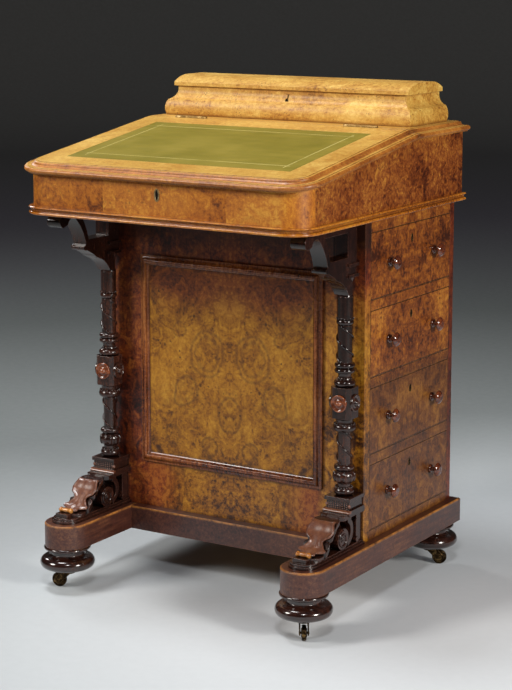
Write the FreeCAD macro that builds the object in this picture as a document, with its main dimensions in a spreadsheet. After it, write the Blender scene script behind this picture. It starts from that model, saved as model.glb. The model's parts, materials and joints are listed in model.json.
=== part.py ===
"""A davenport desk: sloping writing box over a pedestal with four side drawers.

Frame: +Z up, +X towards the drawers, -Y towards the sitter, origin on the floor
under the middle of the desk. Millimetres throughout.
"""
import FreeCAD
import Part
import math
import os
import re

import Sketcher

# Driving sizes, in millimetres and degrees.
SIZES = {
    # casters and bun feet
    "wheel_diameter": 25, "wheel_width": 9, "wheel_bore_play": 0.3, "axle_diameter": 4,
    "wheel_dish": 1, "tread_round": 1.5, "horn_boss": 4.5,
    "horn_trail": 15, "horn_wall": 2.2, "horn_clearance": 1.0, "horn_crown": 6.4,
    "stem_diameter": 7, "stem_play": 0.3, "stem_length": 24,
    "socket_diameter": 36, "socket_flange": 3.2, "socket_wall": 2.5, "socket_gap": 0.4,
    "bun_diameter": 91, "bun_height": 20, "bun_shoulder": 4,
    "foot_neck_diameter": 56, "foot_neck_height": 8,
    "foot_ring_diameter": 78, "foot_ring_height": 6,
    # rails and plinth
    "rail_width": 74, "rail_height": 40, "foot_inset": 44, "rail_reach": 148,
    "rail_arris": 2, "plinth_thickness": 22, "plinth_projection": 17,
    # pedestal
    "pedestal_inset": 22, "pedestal_depth": 310, "pedestal_setback": 12,
    "front_board": 18, "back_board": 14, "side_board": 8, "dust_board": 8,
    "drawer_rail_depth": 40, "bottom_rail": 16, "drawer_divider": 17, "top_rail": 20,
    "drawer_opening": 108,
    # drawers
    "drawer_gap": 0.7, "drawer_seat": 0.3, "drawer_room": 16, "drawer_front_board": 16,
    "drawer_side_board": 8, "drawer_bottom_board": 5, "drawer_bottom_lift": 5,
    "drawer_side_height": 94, "dummy_front_board": 8,
    "knob_spacing": 154, "knob_diameter": 22, "knob_projection": 19, "knob_neck_diameter": 8,
    "knob_collar_diameter": 14.5, "knob_collar": 4, "knob_head": 9,
    "keyhole_slot": 2.2, "keyhole_length": 8, "keyhole_depth": 10, "keyhole_drop": 20,
    "escutcheon_wall": 0.9, "escutcheon_depth": 3,
    # framed panel on the front
    "panel_inset": 74.5, "panel_height": 354, "panel_lift": 79, "panel_moulding_width": 17,
    "panel_moulding_projection": 10, "panel_thickness": 3,
    # writing box
    "top_width": 544, "top_depth": 544, "top_overhang": 14, "case_height": 133,
    "case_board": 18, "case_floor": 12, "case_corner_radius": 38,
    "case_moulding_height": 13, "case_moulding_projection": 8, "case_bead": 5, "case_quirk": 1.5,
    "slope_angle": 8.2, "flat_depth": 187, "top_board": 16.5, "lid_gap": 0.3, "break_gap": 1.2,
    "edge_moulding_width": 23, "edge_fillet": 2, "edge_arris": 1, "edge_ovolo": 3,
    "leather_side": 64, "leather_front": 65, "leather_margin": 43, "leather_thickness": 1.5,
    "leather_play": 0.3,
    # hinges and locks
    "hinge_length": 62, "hinge_spread": 330, "plate_thickness": 1.6, "plate_width": 12,
    "barrel_diameter": 5.6, "barrel_play": 0.4, "pin_diameter": 2.4, "pin_play": 0.3,
    "box_hinge_spread": 260, "box_hinge_length": 44, "box_plate_width": 7.5,
    "lock_drop": 22, "lock_width": 60, "lock_height": 34, "lock_thickness": 7,
    "box_lock_width": 36, "box_lock_height": 20, "box_lock_thickness": 5, "box_lock_up": 36,
    # nest of small drawers and pigeonholes in the well
    "nest_height": 96, "nest_depth": 150, "nest_board": 6, "nest_drawer_opening": 40,
    "nest_gap": 0.5, "nest_front": 8, "nest_tray_board": 5, "nest_tray_bottom": 3,
    "nest_knob_diameter": 10, "nest_knob_projection": 10, "nest_side_drop": 4,
    # stationery box
    "box_inset": 31, "box_depth": 138, "box_setback": 20, "box_wall_height": 50,
    "box_bulge_height": 27, "box_swell": 3.5, "box_neck_step": 18, "box_wall": 27, "box_board": 10,
    "box_floor": 6, "box_partition": 5, "box_partition_height": 34,
    "box_lid_inset": 12, "box_lid_step": 14, "box_lid_edge": 6.5, "box_lid_crown": 11.5,
    "box_lid_crest": 42, "box_lid_gap": 0.3,
    # columns, from the foot upwards
    "column_setback": 24, "tenon_diameter": 18, "tenon_length": 8,
    "base_ring": 33, "base_ring_height": 14, "low_neck": 22, "low_neck_height": 5,
    "bulb_height": 22, "bulb_ring_height": 9,
    "low_shaft": 21.5, "low_shaft_height": 53, "waist_ring": 37, "waist_ring_height": 14,
    "block_taper": 28, "block_taper_height": 8.5, "block": 36, "block_height": 50,
    "block_chamfer": 6, "block_bead": 35, "block_bead_height": 11.5,
    "cove": 23, "cove_height": 10, "twin_ring": 33, "twin_ring_height": 8.5,
    "high_shaft": 24, "collar": 28, "collar_height": 11, "high_neck": 26,
    "high_neck_height": 35,
    "roundel_diameter": 28, "roundel_projection": 6.5, "roundel_button": 11,
    "roundel_rim": 3,
    # foot consoles
    "console_width": 46, "console_height": 84, "console_slab": 6, "console_lip": 10,
    "console_block": 13, "console_inset": 2.5, "console_base": 8, "console_base_reach": 173,
    "console_base_width": 50, "console_base_step": 3, "console_post": 18, "console_volute": 34,
    "volute_reach": 64, "console_scroll": 8, "scroll_boss": 9,
    "toe_block": 18, "toe_block_lead": 15, "toe_block_height": 7,
    "leaf_reach": 148, "lobe_width": 45, "leaf_waist": 24,
    # brackets under the writing box
    "bracket_width": 26, "bracket_reach": 171, "bracket_post": 26, "bracket_post_height": 85,
    "corbel_height": 31, "bracket_roll": 20, "bracket_mould": 3, "bracket_mould_height": 5,
}

# Places and sizes that follow from them.
PLACES = {
    "foot_overhang": "bun_diameter / 2 - rail_half",
    "back_y": "(top_depth - foot_overhang) / 2",
    "front_y": "-(top_depth + foot_overhang) / 2",
    "caster_height": "wheel_diameter / 2 + horn_rise + socket_gap + socket_flange",
    "horn_rise": "wheel_diameter / 2 + horn_clearance + horn_crown",
    "axle_z": "wheel_diameter / 2",
    "foot_top": "caster_height + bun_height + bun_shoulder + foot_neck_height + foot_ring_height",
    "rail_top": "foot_top + rail_height",
    "foot_x": "top_width / 2 - foot_inset",
    "rail_half": "rail_width / 2",
    "rail_nose_y": "pedestal_front_y - rail_reach",
    "back_foot_y": "back_y - rail_half",
    "pedestal_half": "top_width / 2 - pedestal_inset",
    "pedestal_back_y": "back_y - pedestal_setback",
    "pedestal_front_y": "pedestal_back_y - pedestal_depth",
    "bay_front_y": "pedestal_front_y + front_board",
    "bay_back_y": "pedestal_back_y - back_board",
    "bay_mid_y": "(bay_front_y + bay_back_y) / 2",
    "bay_left_x": "-pedestal_half + dummy_front_board + side_board",
    "drawer_pitch": "drawer_opening + drawer_divider",
    "bay_bottom_z": "rail_top + bottom_rail",
    "bay_top_z": "bay_bottom_z + 4 * drawer_opening + 3 * drawer_divider",
    "pedestal_top": "bay_top_z + top_rail",
    "panel_half": "pedestal_half - panel_inset",
    "panel_bottom": "rail_top + panel_lift",
    "panel_mid_z": "panel_bottom + panel_height / 2",
    "case_half": "top_width / 2 - top_overhang",
    "case_front_y": "front_y + top_overhang",
    "well_half": "case_half - case_board",
    "well_front_y": "case_front_y + case_board",
    "well_back_y": "back_y - case_board",
    "well_floor_z": "pedestal_top + case_floor",
    "corner_y": "case_front_y + case_corner_radius",
    "break_y": "back_y - flat_depth",
    "top_z": "pedestal_top + case_height",
    "flat_under_z": "top_z - top_board",
    "slope_under_z": "top_z - top_board / cos(slope_angle)",
    "slope_seat_z": "slope_under_z - lid_gap",
    "case_front_top": "slope_seat_z - tan(slope_angle) * (break_y - case_front_y)",
    "torus": "top_board * 0.23",
    "lid_length": "(break_y - front_y + (top_board - edge_fillet - torus) * sin(slope_angle))"
                  " / cos(slope_angle)",
    "leather_half": "top_width / 2 - leather_side",
    "core_half": "top_width / 2 - edge_moulding_width",
    "core_radius": "case_corner_radius + top_overhang - edge_moulding_width",
    "lock_z": "case_front_top - lock_drop",
    "nest_floor_z": "well_floor_z + nest_board",
    "nest_half_bay": "well_half - nest_board",
    "nest_front_y": "well_back_y - nest_depth",
    "nest_top_z": "well_floor_z + nest_height",
    "nest_shelf_z": "nest_floor_z + nest_drawer_opening",
    "box_back_y": "back_y - box_setback",
    "box_front_y": "box_back_y - box_depth",
    "box_half": "top_width / 2 - box_inset",
    "box_top_z": "top_z + box_wall_height",
    "box_inner_half": "box_half - box_wall",
    "box_inner_front_y": "box_front_y + box_wall",
    "box_inner_back_y": "box_back_y - box_board",
    "box_axis_y": "box_back_y + barrel_diameter / 2 + barrel_play",
    "box_axis_z": "box_top_z + box_lid_gap / 2",
    "column_y": "pedestal_front_y - column_setback",
    "console_top": "rail_top + console_height",
    "corbel_bottom": "pedestal_top - bracket_post_height - corbel_height",
    "block_low": "base_ring_height + low_neck_height + bulb_height + bulb_ring_height"
                 " + low_shaft_height + waist_ring_height + block_taper_height",
    "block_top": "block_low + block_height",
    "twins_top": "block_top + block_bead_height + cove_height + 2 * twin_ring_height",
    "high_shaft_height": "corbel_bottom - console_top - twins_top - collar_height"
                         " - high_neck_height",
}

CORNERS = {
    "front_left": (-1, "rail_nose_y", 195),
    "front_right": (1, "rail_nose_y", -58),
    "back_left": (-1, "back_foot_y", 130),
    "back_right": (1, "back_foot_y", 28),
}
SIDES = {"left": -1, "right": 1}
DRAWERS = range(1, 5)
QUARTER = math.sqrt(2) - 1  # bulge of a quarter circle

# Side view of the console's leaf: shares of its reach and of the lip's height, and bulge.
LEAF_SIDE = ((0.27, 1.08, 0), (0.37, 1.1, 0.1), (0.51, 1.04, 0.2), (0.64, 0.69, 0.06),
             (0.765, 0.27, -0.2), (0.93, 0.1, -0.08), (1, 0.12, 0.5), (1, 0, 0), (0.8, 0, 0.12),
             (0.7, 0.36, -0.04), (0.6, 0.72, -0.14), (0.5, 0.93, -0.06), (0.27, 0.92, 0))
# Notches between its lobes, and the cut of its outer corner, in shares of the reach.
LEAF_NOTCHES = ((0.4, 0.46, 0.53), (0.668, 0.71, 0.735), (0.79, 0.83, 0.86))
LEAF_CORNER = 0.9
# Lower edge of the bracket and its window: shares of the reach and of the post's height.
BRACKET_EDGE = ((0.857, 0.26, -0.6), (0.7, 0.2, -0.14), (0.53, 0.71, 0), (0.57, 0.75, 0.7),
                (0.52, 0.82, 0), (0.38, 0.94, 0.15), (0.3, 1.02, -0.2))
BRACKET_WINDOW = ((0.6, 0.165, -0.1), (0.483, 0.62, 0), (0.11, 0.62, 0), (0.11, 0.165, 0))

# Directions.
ALONG_X, ALONG_Y, UP = (1, 0, 0), (0, 1, 0), (0, 0, 1)

doc = FreeCAD.newDocument("davenport")
sheet = doc.addObject("Spreadsheet::Sheet", "Sizes")
nodes = []


# ---------------------------------------------------------------- helpers

def fill_sheet():
    for row, (alias, size) in enumerate(SIZES.items(), start=1):
        sheet.set(f"A{row}", alias)
        sheet.set(f"B{row}", str(size))
        sheet.setAlias(f"B{row}", alias)
    doc.recompute()


def full(text):
    """A size expression with every name written out in the sheet's own cells."""
    def swap(found):
        word = found.group()
        if word in SIZES:
            return "Sizes." + word
        if word in PLACES:
            return "(" + full(PLACES[word]) + ")"
        return word
    return re.sub(r"[A-Za-z_]\w*", swap, str(text))


def number(text):
    """The present value of a size expression."""
    return float(sheet.evalExpression(full(text)))


def bind(thing, **sizes):
    """Tie properties to size expressions; a double underscore stands for a dot."""
    for name, text in sizes.items():
        path = name.replace("__", ".")
        thing.setExpression(path, full(text))


def place(thing, x="0", y="0", z="0", rotation=None):
    """Put an object at a bound place, with an optional fixed rotation."""
    if rotation:
        thing.Placement = FreeCAD.Placement(FreeCAD.Vector(), rotation)
    bind(thing, Placement__Base__x=x, Placement__Base__y=y, Placement__Base__z=z)
    return thing


def turn_about(axis, degrees):
    return FreeCAD.Rotation(FreeCAD.Vector(*axis), degrees)


def keep(thing, label):
    """Name an object as one sub-part of the desk."""
    thing.Label = label
    nodes.append(thing)
    return thing


def new_body(label):
    return doc.addObject("PartDesign::Body", label)


def origin_plane(body, role):
    return next(part for part in body.Origin.OriginFeatures if part.Role == role)


def arc_centre(start, end, bulge):
    """Centre of the arc whose sagitta is bulge times half the chord between two points."""
    share = (1 - bulge * bulge) / (4 * bulge)
    across = f"(({start[0]}) + ({end[0]})) / 2 - (({end[1]}) - ({start[1]})) * {share}"
    up = f"(({start[1]}) + ({end[1]})) / 2 + (({end[0]}) - ({start[0]})) * {share}"
    return across, up


def fix_centre(sketch, index, start, end, bulge):
    """Hold an arc's centre by whichever of its two places says more about it."""
    centre = arc_centre(start, end, bulge)
    rise = abs(number(end[1]) - number(start[1]))
    run = abs(number(end[0]) - number(start[0]))
    kind, text = ("DistanceX", centre[0]) if rise > run else ("DistanceY", centre[1])
    hold(sketch, kind, index, 3, text)


def hold(sketch, kind, index, end, text):
    """Bind one place of a point, counted from the sketch's origin, to a size expression."""
    fixed = sketch.addConstraint(Sketcher.Constraint(kind, -1, 1, index, end, number(text)))
    sketch.setExpression(f"Constraints[{fixed}]", full(text))


def add_edge(sketch, start, end, bulge):
    """Draw a line, or an arc that swells to the right of travel for a bulge above 0.

    Gives the edge's index and the numbers of its start and end points.
    """
    if not bulge:
        return sketch.addGeometry(Part.LineSegment(start, end)), 1, 2
    chord = end - start
    middle = (start + end) / 2 + FreeCAD.Vector(chord.y, -chord.x, 0) * bulge / 2
    if bulge > 0:
        return sketch.addGeometry(Part.Arc(start, middle, end)), 1, 2
    return sketch.addGeometry(Part.Arc(end, middle, start)), 2, 1


def add_outline(sketch, points):
    """Draw one closed outline of (across, up) or (across, up, bulge) corners, all bound."""
    spots = [FreeCAD.Vector(number(p[0]), number(p[1]), 0) for p in points]
    bulges = [p[2] if len(p) > 2 else 0 for p in points]
    edges = [add_edge(sketch, spots[i - 1], spots[i], bulges[i - 1]) for i in range(len(points))]
    for i, point in enumerate(points):
        before, after = edges[i], edges[(i + 1) % len(points)]
        join = Sketcher.Constraint("Coincident", before[0], before[2], after[0], after[1])
        sketch.addConstraint(join)
        hold(sketch, "DistanceX", after[0], after[1], point[0])
        hold(sketch, "DistanceY", after[0], after[1], point[1])
        if bulges[i]:
            fix_centre(sketch, after[0], point, points[(i + 1) % len(points)], bulges[i])


def add_circle(sketch, across, up, diameter):
    centre = FreeCAD.Vector(number(across), number(up), 0)
    ring = sketch.addGeometry(Part.Circle(centre, FreeCAD.Vector(0, 0, 1), number(diameter) / 2))
    hold(sketch, "DistanceX", ring, 3, across)
    hold(sketch, "DistanceY", ring, 3, up)
    fixed = sketch.addConstraint(Sketcher.Constraint("Diameter", ring, number(diameter)))
    sketch.setExpression(f"Constraints[{fixed}]", full(diameter))


def new_sketch(body, role, *outlines, lift="0"):
    """A sketch on an origin plane of the body, lifted along the plane's normal."""
    sketch = body.newObject("Sketcher::SketchObject", "Sketch")
    sketch.AttachmentSupport = (origin_plane(body, role), [""])
    sketch.MapMode = "FlatFace"
    sketch.setExpression("AttachmentOffset.Base.z", full(lift))
    for outline in outlines:
        add_outline(sketch, outline)
    return sketch


def pad(body, sketch, length, both=False, back=False):
    feature = body.newObject("PartDesign::Pad", "Pad")
    feature.Profile = sketch
    feature.SideType = "Symmetric" if both else "One side"
    feature.Reversed = back
    bind(feature, Length=length)
    return feature


def pocket(body, sketch, depth=None, back=False, both=False):
    """Cut a sketch through all both ways, or to a depth."""
    feature = body.newObject("PartDesign::Pocket", "Pocket")
    feature.Profile = sketch
    feature.Reversed = back
    feature.SideType = "Symmetric" if both or depth is None else "One side"
    if depth is None:
        feature.Type = "ThroughAll"
    else:
        bind(feature, Length=depth)
    return feature


def revolve(body, outline, role="XZ_Plane", axis="V_Axis", cut=False):
    sketch = new_sketch(body, role, outline)
    kind = "PartDesign::Groove" if cut else "PartDesign::Revolution"
    feature = body.newObject(kind, "Turned")
    feature.Profile = sketch
    feature.ReferenceAxis = (sketch, [axis])
    feature.Angle = 360
    return feature


def rectangle(x0, x1, y0, y1):
    return [(x0, y0), (x1, y0), (x1, y1), (x0, y1)]


def board(label, x, y, z):
    """A plain board between bound limits along X, Y and Z."""
    box = doc.addObject("Part::Box", label)
    lengths = [f"({high}) - ({low})" for low, high in (x, y, z)]
    bind(box, Length=lengths[0], Width=lengths[1], Height=lengths[2])
    return place(box, x[0], y[0], z[0])


def group(label, members):
    bundle = doc.addObject("Part::Compound", label)
    bundle.Links = members
    return keep(bundle, label)


def turned(start, steps):
    """Outline of a turning about the up axis, from (height, low, high, bulge) steps.

    low and high are the radii at the bottom and top of the step, and bulge the
    roundness of its side: 0 straight, above 0 swelling, below 0 hollow.
    """
    points = [("0", start)]
    level = start
    for height, low, high, bulge in steps:
        if not same_point(points[-1], (low, level)):
            points.append((low, level))
        points[-1] = (*points[-1][:2], bulge)
        level = f"{level} + {height}"
        points.append((high, level))
    points.append(("0", level))
    return points


def same_point(one, other):
    return all(abs(number(a) - number(b)) < 1e-6 for a, b in zip(one, other[:2]))


def bead(height, diameter):
    """A half-round bead of the given height and outer diameter."""
    core = f"{diameter} / 2 - ({height}) / 2"
    return (height, core, core, 1)


def plain(height, diameter):
    return (height, f"{diameter} / 2", f"{diameter} / 2", 0)


def hollow(height, low, high, bulge=-0.6):
    return (height, f"{low} / 2", f"{high} / 2", bulge)


# ---------------------------------------------------------------- casters and feet

def caster_wheel(corner):
    side, foot_y, heading = CORNERS[corner]
    body = new_body(f"caster_wheel_{corner}")
    bore = "axle_diameter / 2 + wheel_bore_play"
    half, rim = "wheel_width / 2", "wheel_diameter / 2"
    cheek, shoulder = f"{half} - wheel_dish", f"{rim} - tread_round"
    outline = [(bore, f"-({half})"), (f"{rim} * 0.55", f"-({half})"),
               (f"{rim} * 0.62", f"-({cheek})"), (shoulder, f"-({cheek})", 0.3),
               (rim, "-tread_round"), (rim, "tread_round", 0.3), (shoulder, cheek),
               (f"{rim} * 0.62", cheek), (f"{rim} * 0.55", half), (bore, half)]
    revolve(body, outline, role="XY_Plane", axis="V_Axis")
    place_on_caster(body, side, foot_y, heading)
    keep(body, f"caster_wheel_{corner}")


def place_on_caster(thing, side, foot_y, heading):
    """Carry a piece drawn at the axle out along the caster's heading."""
    x = f"{side} * foot_x + cos({heading}) * horn_trail"
    y = f"{foot_y} + sin({heading}) * horn_trail"
    return place(thing, x, y, "axle_z", turn_about(UP, heading))


def caster_horn(corner):
    """Horn with its stem, and the axle pin that crosses its two cheeks."""
    side, foot_y, heading = CORNERS[corner]
    horn = new_body(f"horn_{corner}")
    width = "wheel_width + 2 * horn_clearance + 2 * horn_wall"
    crown_low = "wheel_diameter / 2 + horn_clearance"
    cheek = [("-horn_trail - stem_diameter", crown_low), ("-horn_boss", "-horn_boss * 0.8", 0.5),
             ("horn_boss", "-horn_boss / 3"), ("horn_boss", "horn_boss"),
             ("-horn_trail + stem_diameter", "horn_rise"), ("-horn_trail - stem_diameter", "horn_rise")]
    pad(horn, new_sketch(horn, "XZ_Plane", cheek), width, both=True)
    slot = "wheel_width / 2 + horn_clearance"
    gap = rectangle("-horn_trail - 2 * stem_diameter", "wheel_diameter", "-wheel_diameter", crown_low)
    pocket(horn, new_sketch(horn, "XZ_Plane", gap), f"2 * ({slot})", both=True)
    bore = new_sketch(horn, "XZ_Plane")
    add_circle(bore, "0", "0", "axle_diameter")
    pocket(horn, bore)
    stem = new_sketch(horn, "XY_Plane", lift="horn_rise")
    add_circle(stem, "-horn_trail", "0", "stem_diameter")
    pad(horn, stem, "socket_gap + stem_length")
    crown = new_sketch(horn, "XY_Plane", lift=crown_low)
    add_circle(crown, "-horn_trail", "0", "socket_diameter * 0.72")
    pad(horn, crown, "horn_crown")
    place_on_caster(horn, side, foot_y, heading)

    pin = new_body(f"axle_{corner}")
    round_bar = new_sketch(pin, "XZ_Plane")
    add_circle(round_bar, "0", "0", "axle_diameter")
    pad(pin, round_bar, f"{width} + 1", both=True)
    place_on_caster(pin, side, foot_y, heading)
    group(f"caster_horn_{corner}", [horn, pin])


def caster_socket(corner):
    side, foot_y, _ = CORNERS[corner]
    body = new_body(f"socket_{corner}")
    bore = "stem_diameter / 2 + stem_play"
    sleeve = f"{bore} + socket_wall"
    outline = [(bore, "0"), ("socket_diameter / 2", "0"),
               ("socket_diameter / 2", "socket_flange"), (sleeve, "socket_flange"),
               (sleeve, "socket_flange + stem_length"), (bore, "socket_flange + stem_length")]
    revolve(body, outline)
    return place(body, f"{side} * foot_x", foot_y, "caster_height - socket_flange")


def bun_foot(corner):
    """Turned bun with a necking and a top ring, bored for the caster's socket."""
    side, foot_y, _ = CORNERS[corner]
    body = new_body(f"bun_foot_{corner}")
    squash = "bun_height / 2"
    low = f"bun_diameter / 2 - {squash}"
    steps = [("bun_height", low, low, 1), ("bun_shoulder", low, "foot_neck_diameter / 2", -0.3),
             plain("foot_neck_height", "foot_neck_diameter"),
             bead("foot_ring_height", "foot_ring_diameter")]
    revolve(body, turned("0", steps))
    seat = new_sketch(body, "XY_Plane")
    add_circle(seat, "0", "0", "stem_diameter + 2 * stem_play + 2 * socket_wall")
    pocket(body, seat, "stem_length", back=True)
    return place(body, f"{side} * foot_x", foot_y, "caster_height")


# ---------------------------------------------------------------- rails and plinth

def top_arris(body, feature, size):
    """Chamfer the edges of a pad's uppermost face."""
    doc.recompute()
    faces = feature.Shape.Faces
    highest = max(range(len(faces)), key=lambda i: faces[i].CenterOfMass.z)
    chamfer = body.newObject("PartDesign::Chamfer", "Arris")
    chamfer.Base = (feature, [f"Face{highest + 1}"])
    bind(chamfer, Size=size)


def rail(name):
    """A foot rail from the back to a round nose in front of the pedestal."""
    body = new_body(f"rail_{name}")
    outline = [("-rail_half", "rail_nose_y", 1), ("rail_half", "rail_nose_y"),
               ("rail_half", "back_y"), ("-rail_half", "back_y")]
    block = pad(body, new_sketch(body, "XY_Plane", outline), "rail_height")
    top_arris(body, block, "rail_arris")
    place(body, f"{SIDES[name]} * foot_x", "0", "foot_top")
    keep(body, f"rail_{name}")


def plinth_bands():
    inner = "foot_x - rail_half"
    front = "pedestal_front_y - plinth_projection"
    places = {"front": (front, f"{front} + plinth_thickness"),
              "back": ("back_y - plinth_thickness", "back_y")}
    bands = [board(f"plinth_{name}", (f"-({inner})", inner), span, ("foot_top", "rail_top"))
             for name, span in places.items()]
    group("plinth_bands", bands)


# ---------------------------------------------------------------- pedestal

def pedestal_boards():
    full_width = ("-pedestal_half", "pedestal_half")
    height = ("rail_top", "pedestal_top")
    front = board("pedestal_front", full_width, ("pedestal_front_y", "bay_front_y"), height)
    back = board("pedestal_back", full_width, ("bay_back_y", "pedestal_back_y"), height)
    keep(front, "pedestal_front")
    keep(back, "pedestal_back")


def opening_bottom(drawer):
    """Height of the floor of one drawer's opening; drawer 1 is at the top."""
    return f"bay_bottom_z + {4 - drawer} * drawer_pitch"


def pedestal_side():
    """Left side board with the strips between its dummy drawer fronts."""
    inner = "bay_left_x"
    skin = f"{inner} - side_board"
    depth = ("bay_front_y", "bay_back_y")
    pieces = [board("side_skin", (skin, inner), depth, ("rail_top", "pedestal_top"))]
    levels = [("rail_top", "bay_bottom_z"), ("bay_top_z", "pedestal_top")]
    levels += [(f"{opening_bottom(n)} - drawer_divider", opening_bottom(n)) for n in DRAWERS[:-1]]
    pieces += [board("side_strip", ("-pedestal_half", skin), depth, level) for level in levels]
    fused = doc.addObject("Part::MultiFuse", "pedestal_side")
    fused.Shapes = pieces
    fused.Refine = True
    keep(fused, "pedestal_side")


def drawer_rails():
    """Front rails of the drawer side, from the bottom rail to the top rail."""
    across = ("pedestal_half - drawer_rail_depth", "pedestal_half")
    depth = ("bay_front_y", "bay_back_y")
    levels = [("rail_top", "bay_bottom_z"), ("bay_top_z", "pedestal_top")]
    levels += [(f"{opening_bottom(n)} - drawer_divider", opening_bottom(n)) for n in DRAWERS[:-1]]
    group("drawer_rails", [board("drawer_rail", across, depth, level) for level in levels])


def dust_boards():
    across = ("bay_left_x", "pedestal_half - drawer_rail_depth")
    depth = ("bay_front_y", "bay_back_y")
    boards = []
    for n in DRAWERS:
        top = opening_bottom(n)
        boards.append(board(f"dust_board_{n}", across, depth, (f"{top} - dust_board", top)))
    group("dust_boards", boards)


def keyhole(eye_z, across="0", margin="0"):
    """Keyhole outline: a round eye with a slot that hangs below it."""
    half = f"(keyhole_slot / 2 + {margin})"
    low = f"{eye_z} - keyhole_length - {margin}"
    return [(f"{across} - {half}", low), (f"{across} + {half}", low),
            (f"{across} + {half}", eye_z, 2.2), (f"{across} - {half}", eye_z)]


def knob(label):
    """Turned knob: collar, thin neck and mushroom head, drawn along +Z."""
    body = new_body(label)
    neck = "knob_projection - knob_collar - knob_head"
    steps = [("knob_collar * 0.4", "knob_collar_diameter / 2", "knob_collar_diameter / 2", 0),
             ("knob_collar * 0.6", "knob_collar_diameter / 2", "knob_neck_diameter / 2", 0.4),
             (neck, "knob_neck_diameter / 2", "knob_neck_diameter / 2", -0.2),
             ("knob_head * 0.35", "knob_neck_diameter / 2", "knob_diameter / 2", -0.25),
             ("knob_head * 0.25", "knob_diameter / 2", "knob_diameter / 2", 0.5),
             ("knob_head * 0.4", "knob_diameter / 2", "knob_diameter * 0.12", 0.3)]
    revolve(body, turned("0", steps))
    return body


def knob_pair(label, side, drawer):
    """Two knobs on one drawer front, on the side of the pedestal that it faces."""
    middle = f"{opening_bottom(drawer)} + drawer_opening / 2"
    pair = []
    for hand in SIDES.values():
        one = knob(f"{label}_{hand}")
        spot = f"bay_mid_y + {hand} * knob_spacing / 2"
        facing = turn_about(ALONG_Y, 90 * side)
        pair.append(place(one, f"{side} * pedestal_half", spot, middle, facing))
    return pair


def dummy_drawers():
    """Four sham fronts on the left side, knobbed to match the drawers."""
    depth = ("bay_front_y + drawer_gap", "bay_back_y - drawer_gap")
    across = ("-pedestal_half", "-pedestal_half + dummy_front_board")
    fronts = []
    knobs = []
    for n in DRAWERS:
        low = f"{opening_bottom(n)} + drawer_gap"
        high = f"{opening_bottom(n)} + drawer_opening - drawer_gap"
        fronts.append(board(f"dummy_front_{n}", across, depth, (low, high)))
        knobs += knob_pair(f"dummy_knob_{n}", -1, n)
    group("dummy_drawer_fronts", fronts)
    group("dummy_drawer_knobs", knobs)


# ---------------------------------------------------------------- drawers

def drawer_front(n):
    body = new_body(f"drawer_{n}_front")
    floor = opening_bottom(n)
    low = f"{floor} + drawer_seat"
    high = f"{floor} + drawer_opening - drawer_gap"
    face = rectangle("bay_front_y + drawer_gap", "bay_back_y - drawer_gap", low, high)
    slab = new_sketch(body, "YZ_Plane", face, lift="pedestal_half")
    pad(body, slab, "drawer_front_board", back=True)
    eye = keyhole(f"{high} - keyhole_drop", "bay_mid_y")
    hole = new_sketch(body, "YZ_Plane", eye, lift="pedestal_half")
    pocket(body, hole, "keyhole_depth")
    keep(body, f"drawer_{n}_front")


def drawer_tray(n):
    """Sides, back and bottom board of one drawer."""
    floor = opening_bottom(n)
    near = "pedestal_half - drawer_front_board"
    far = "bay_left_x + drawer_room"
    left, right = "bay_front_y + drawer_gap", "bay_back_y - drawer_gap"
    low = f"{floor} + drawer_seat"
    high = f"{low} + drawer_side_height"
    lift = f"{low} + drawer_bottom_lift"
    inside = (f"{left} + drawer_side_board", f"{right} - drawer_side_board")
    bottom_top = f"{lift} + drawer_bottom_board"
    far_board = (far, f"{far} + drawer_side_board")
    pieces = [board("tray_side", (far, near), (left, inside[0]), (low, high)),
              board("tray_side", (far, near), (inside[1], right), (low, high)),
              board("tray_bottom", (far, near), inside, (lift, bottom_top)),
              board("tray_back", far_board, inside, (bottom_top, f"{high} - drawer_bottom_lift"))]
    group(f"drawer_{n}_tray", pieces)


def drawer(n):
    drawer_front(n)
    drawer_tray(n)
    group(f"drawer_{n}_knobs", knob_pair(f"knob_{n}", 1, n))


# ---------------------------------------------------------------- framed front panel

def panel_section():
    """Section of the panel moulding, as (in from the outer edge, out from the board)."""
    wide, proud = "panel_moulding_width", "panel_moulding_projection"
    return [("0", "0"), (wide, "0"), (wide, f"{proud} * 0.25", -0.35),
            (f"{wide} * 0.74", f"{proud} * 0.7"), (f"{wide} * 0.74", f"{proud} * 0.93", 0.25),
            (f"{wide} * 0.42", f"{proud} * 0.93", -0.3), (f"{wide} * 0.14", f"{proud} * 0.45"),
            ("0", f"{proud} * 0.45")]


def mitred_bar(label, low, high, width, section, mitres=(True, True)):
    """A moulding along X between two places, its outer edge on the X axis.

    The section is (inwards, up); the mitres run in towards +Y.
    """
    body = new_body(label)
    pad(body, new_sketch(body, "YZ_Plane", section, lift=low), f"({high}) - ({low})")
    for tip, inwards, mitred in ((low, 1, mitres[0]), (high, -1, mitres[1])):
        if mitred:
            beyond, inner = f"({tip}) - {inwards}", f"({width}) + 1"
            corner = [(beyond, "-1"), (beyond, inner), (f"({tip}) + {inwards} * ({inner})", inner)]
            pocket(body, new_sketch(body, "XY_Plane", corner))
    return body


def panel_frame():
    upright, wide = "panel_height / 2", "panel_half"
    sides = {"bottom": (wide, "0", "panel_bottom", 0),
             "right": (upright, wide, "panel_mid_z", 90),
             "top": (wide, "0", "panel_bottom + panel_height", 180),
             "left": (upright, f"-{wide}", "panel_mid_z", 270)}
    bars = []
    for name, (half, x, z, turn) in sides.items():
        bar = mitred_bar(f"moulding_{name}", f"-({half})", half, "panel_moulding_width",
                         panel_section())
        facing = turn_about(ALONG_X, 90).multiply(turn_about(UP, turn))
        bars.append(place(bar, x, "pedestal_front_y", z, facing))
    group("panel_moulding", bars)


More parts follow.
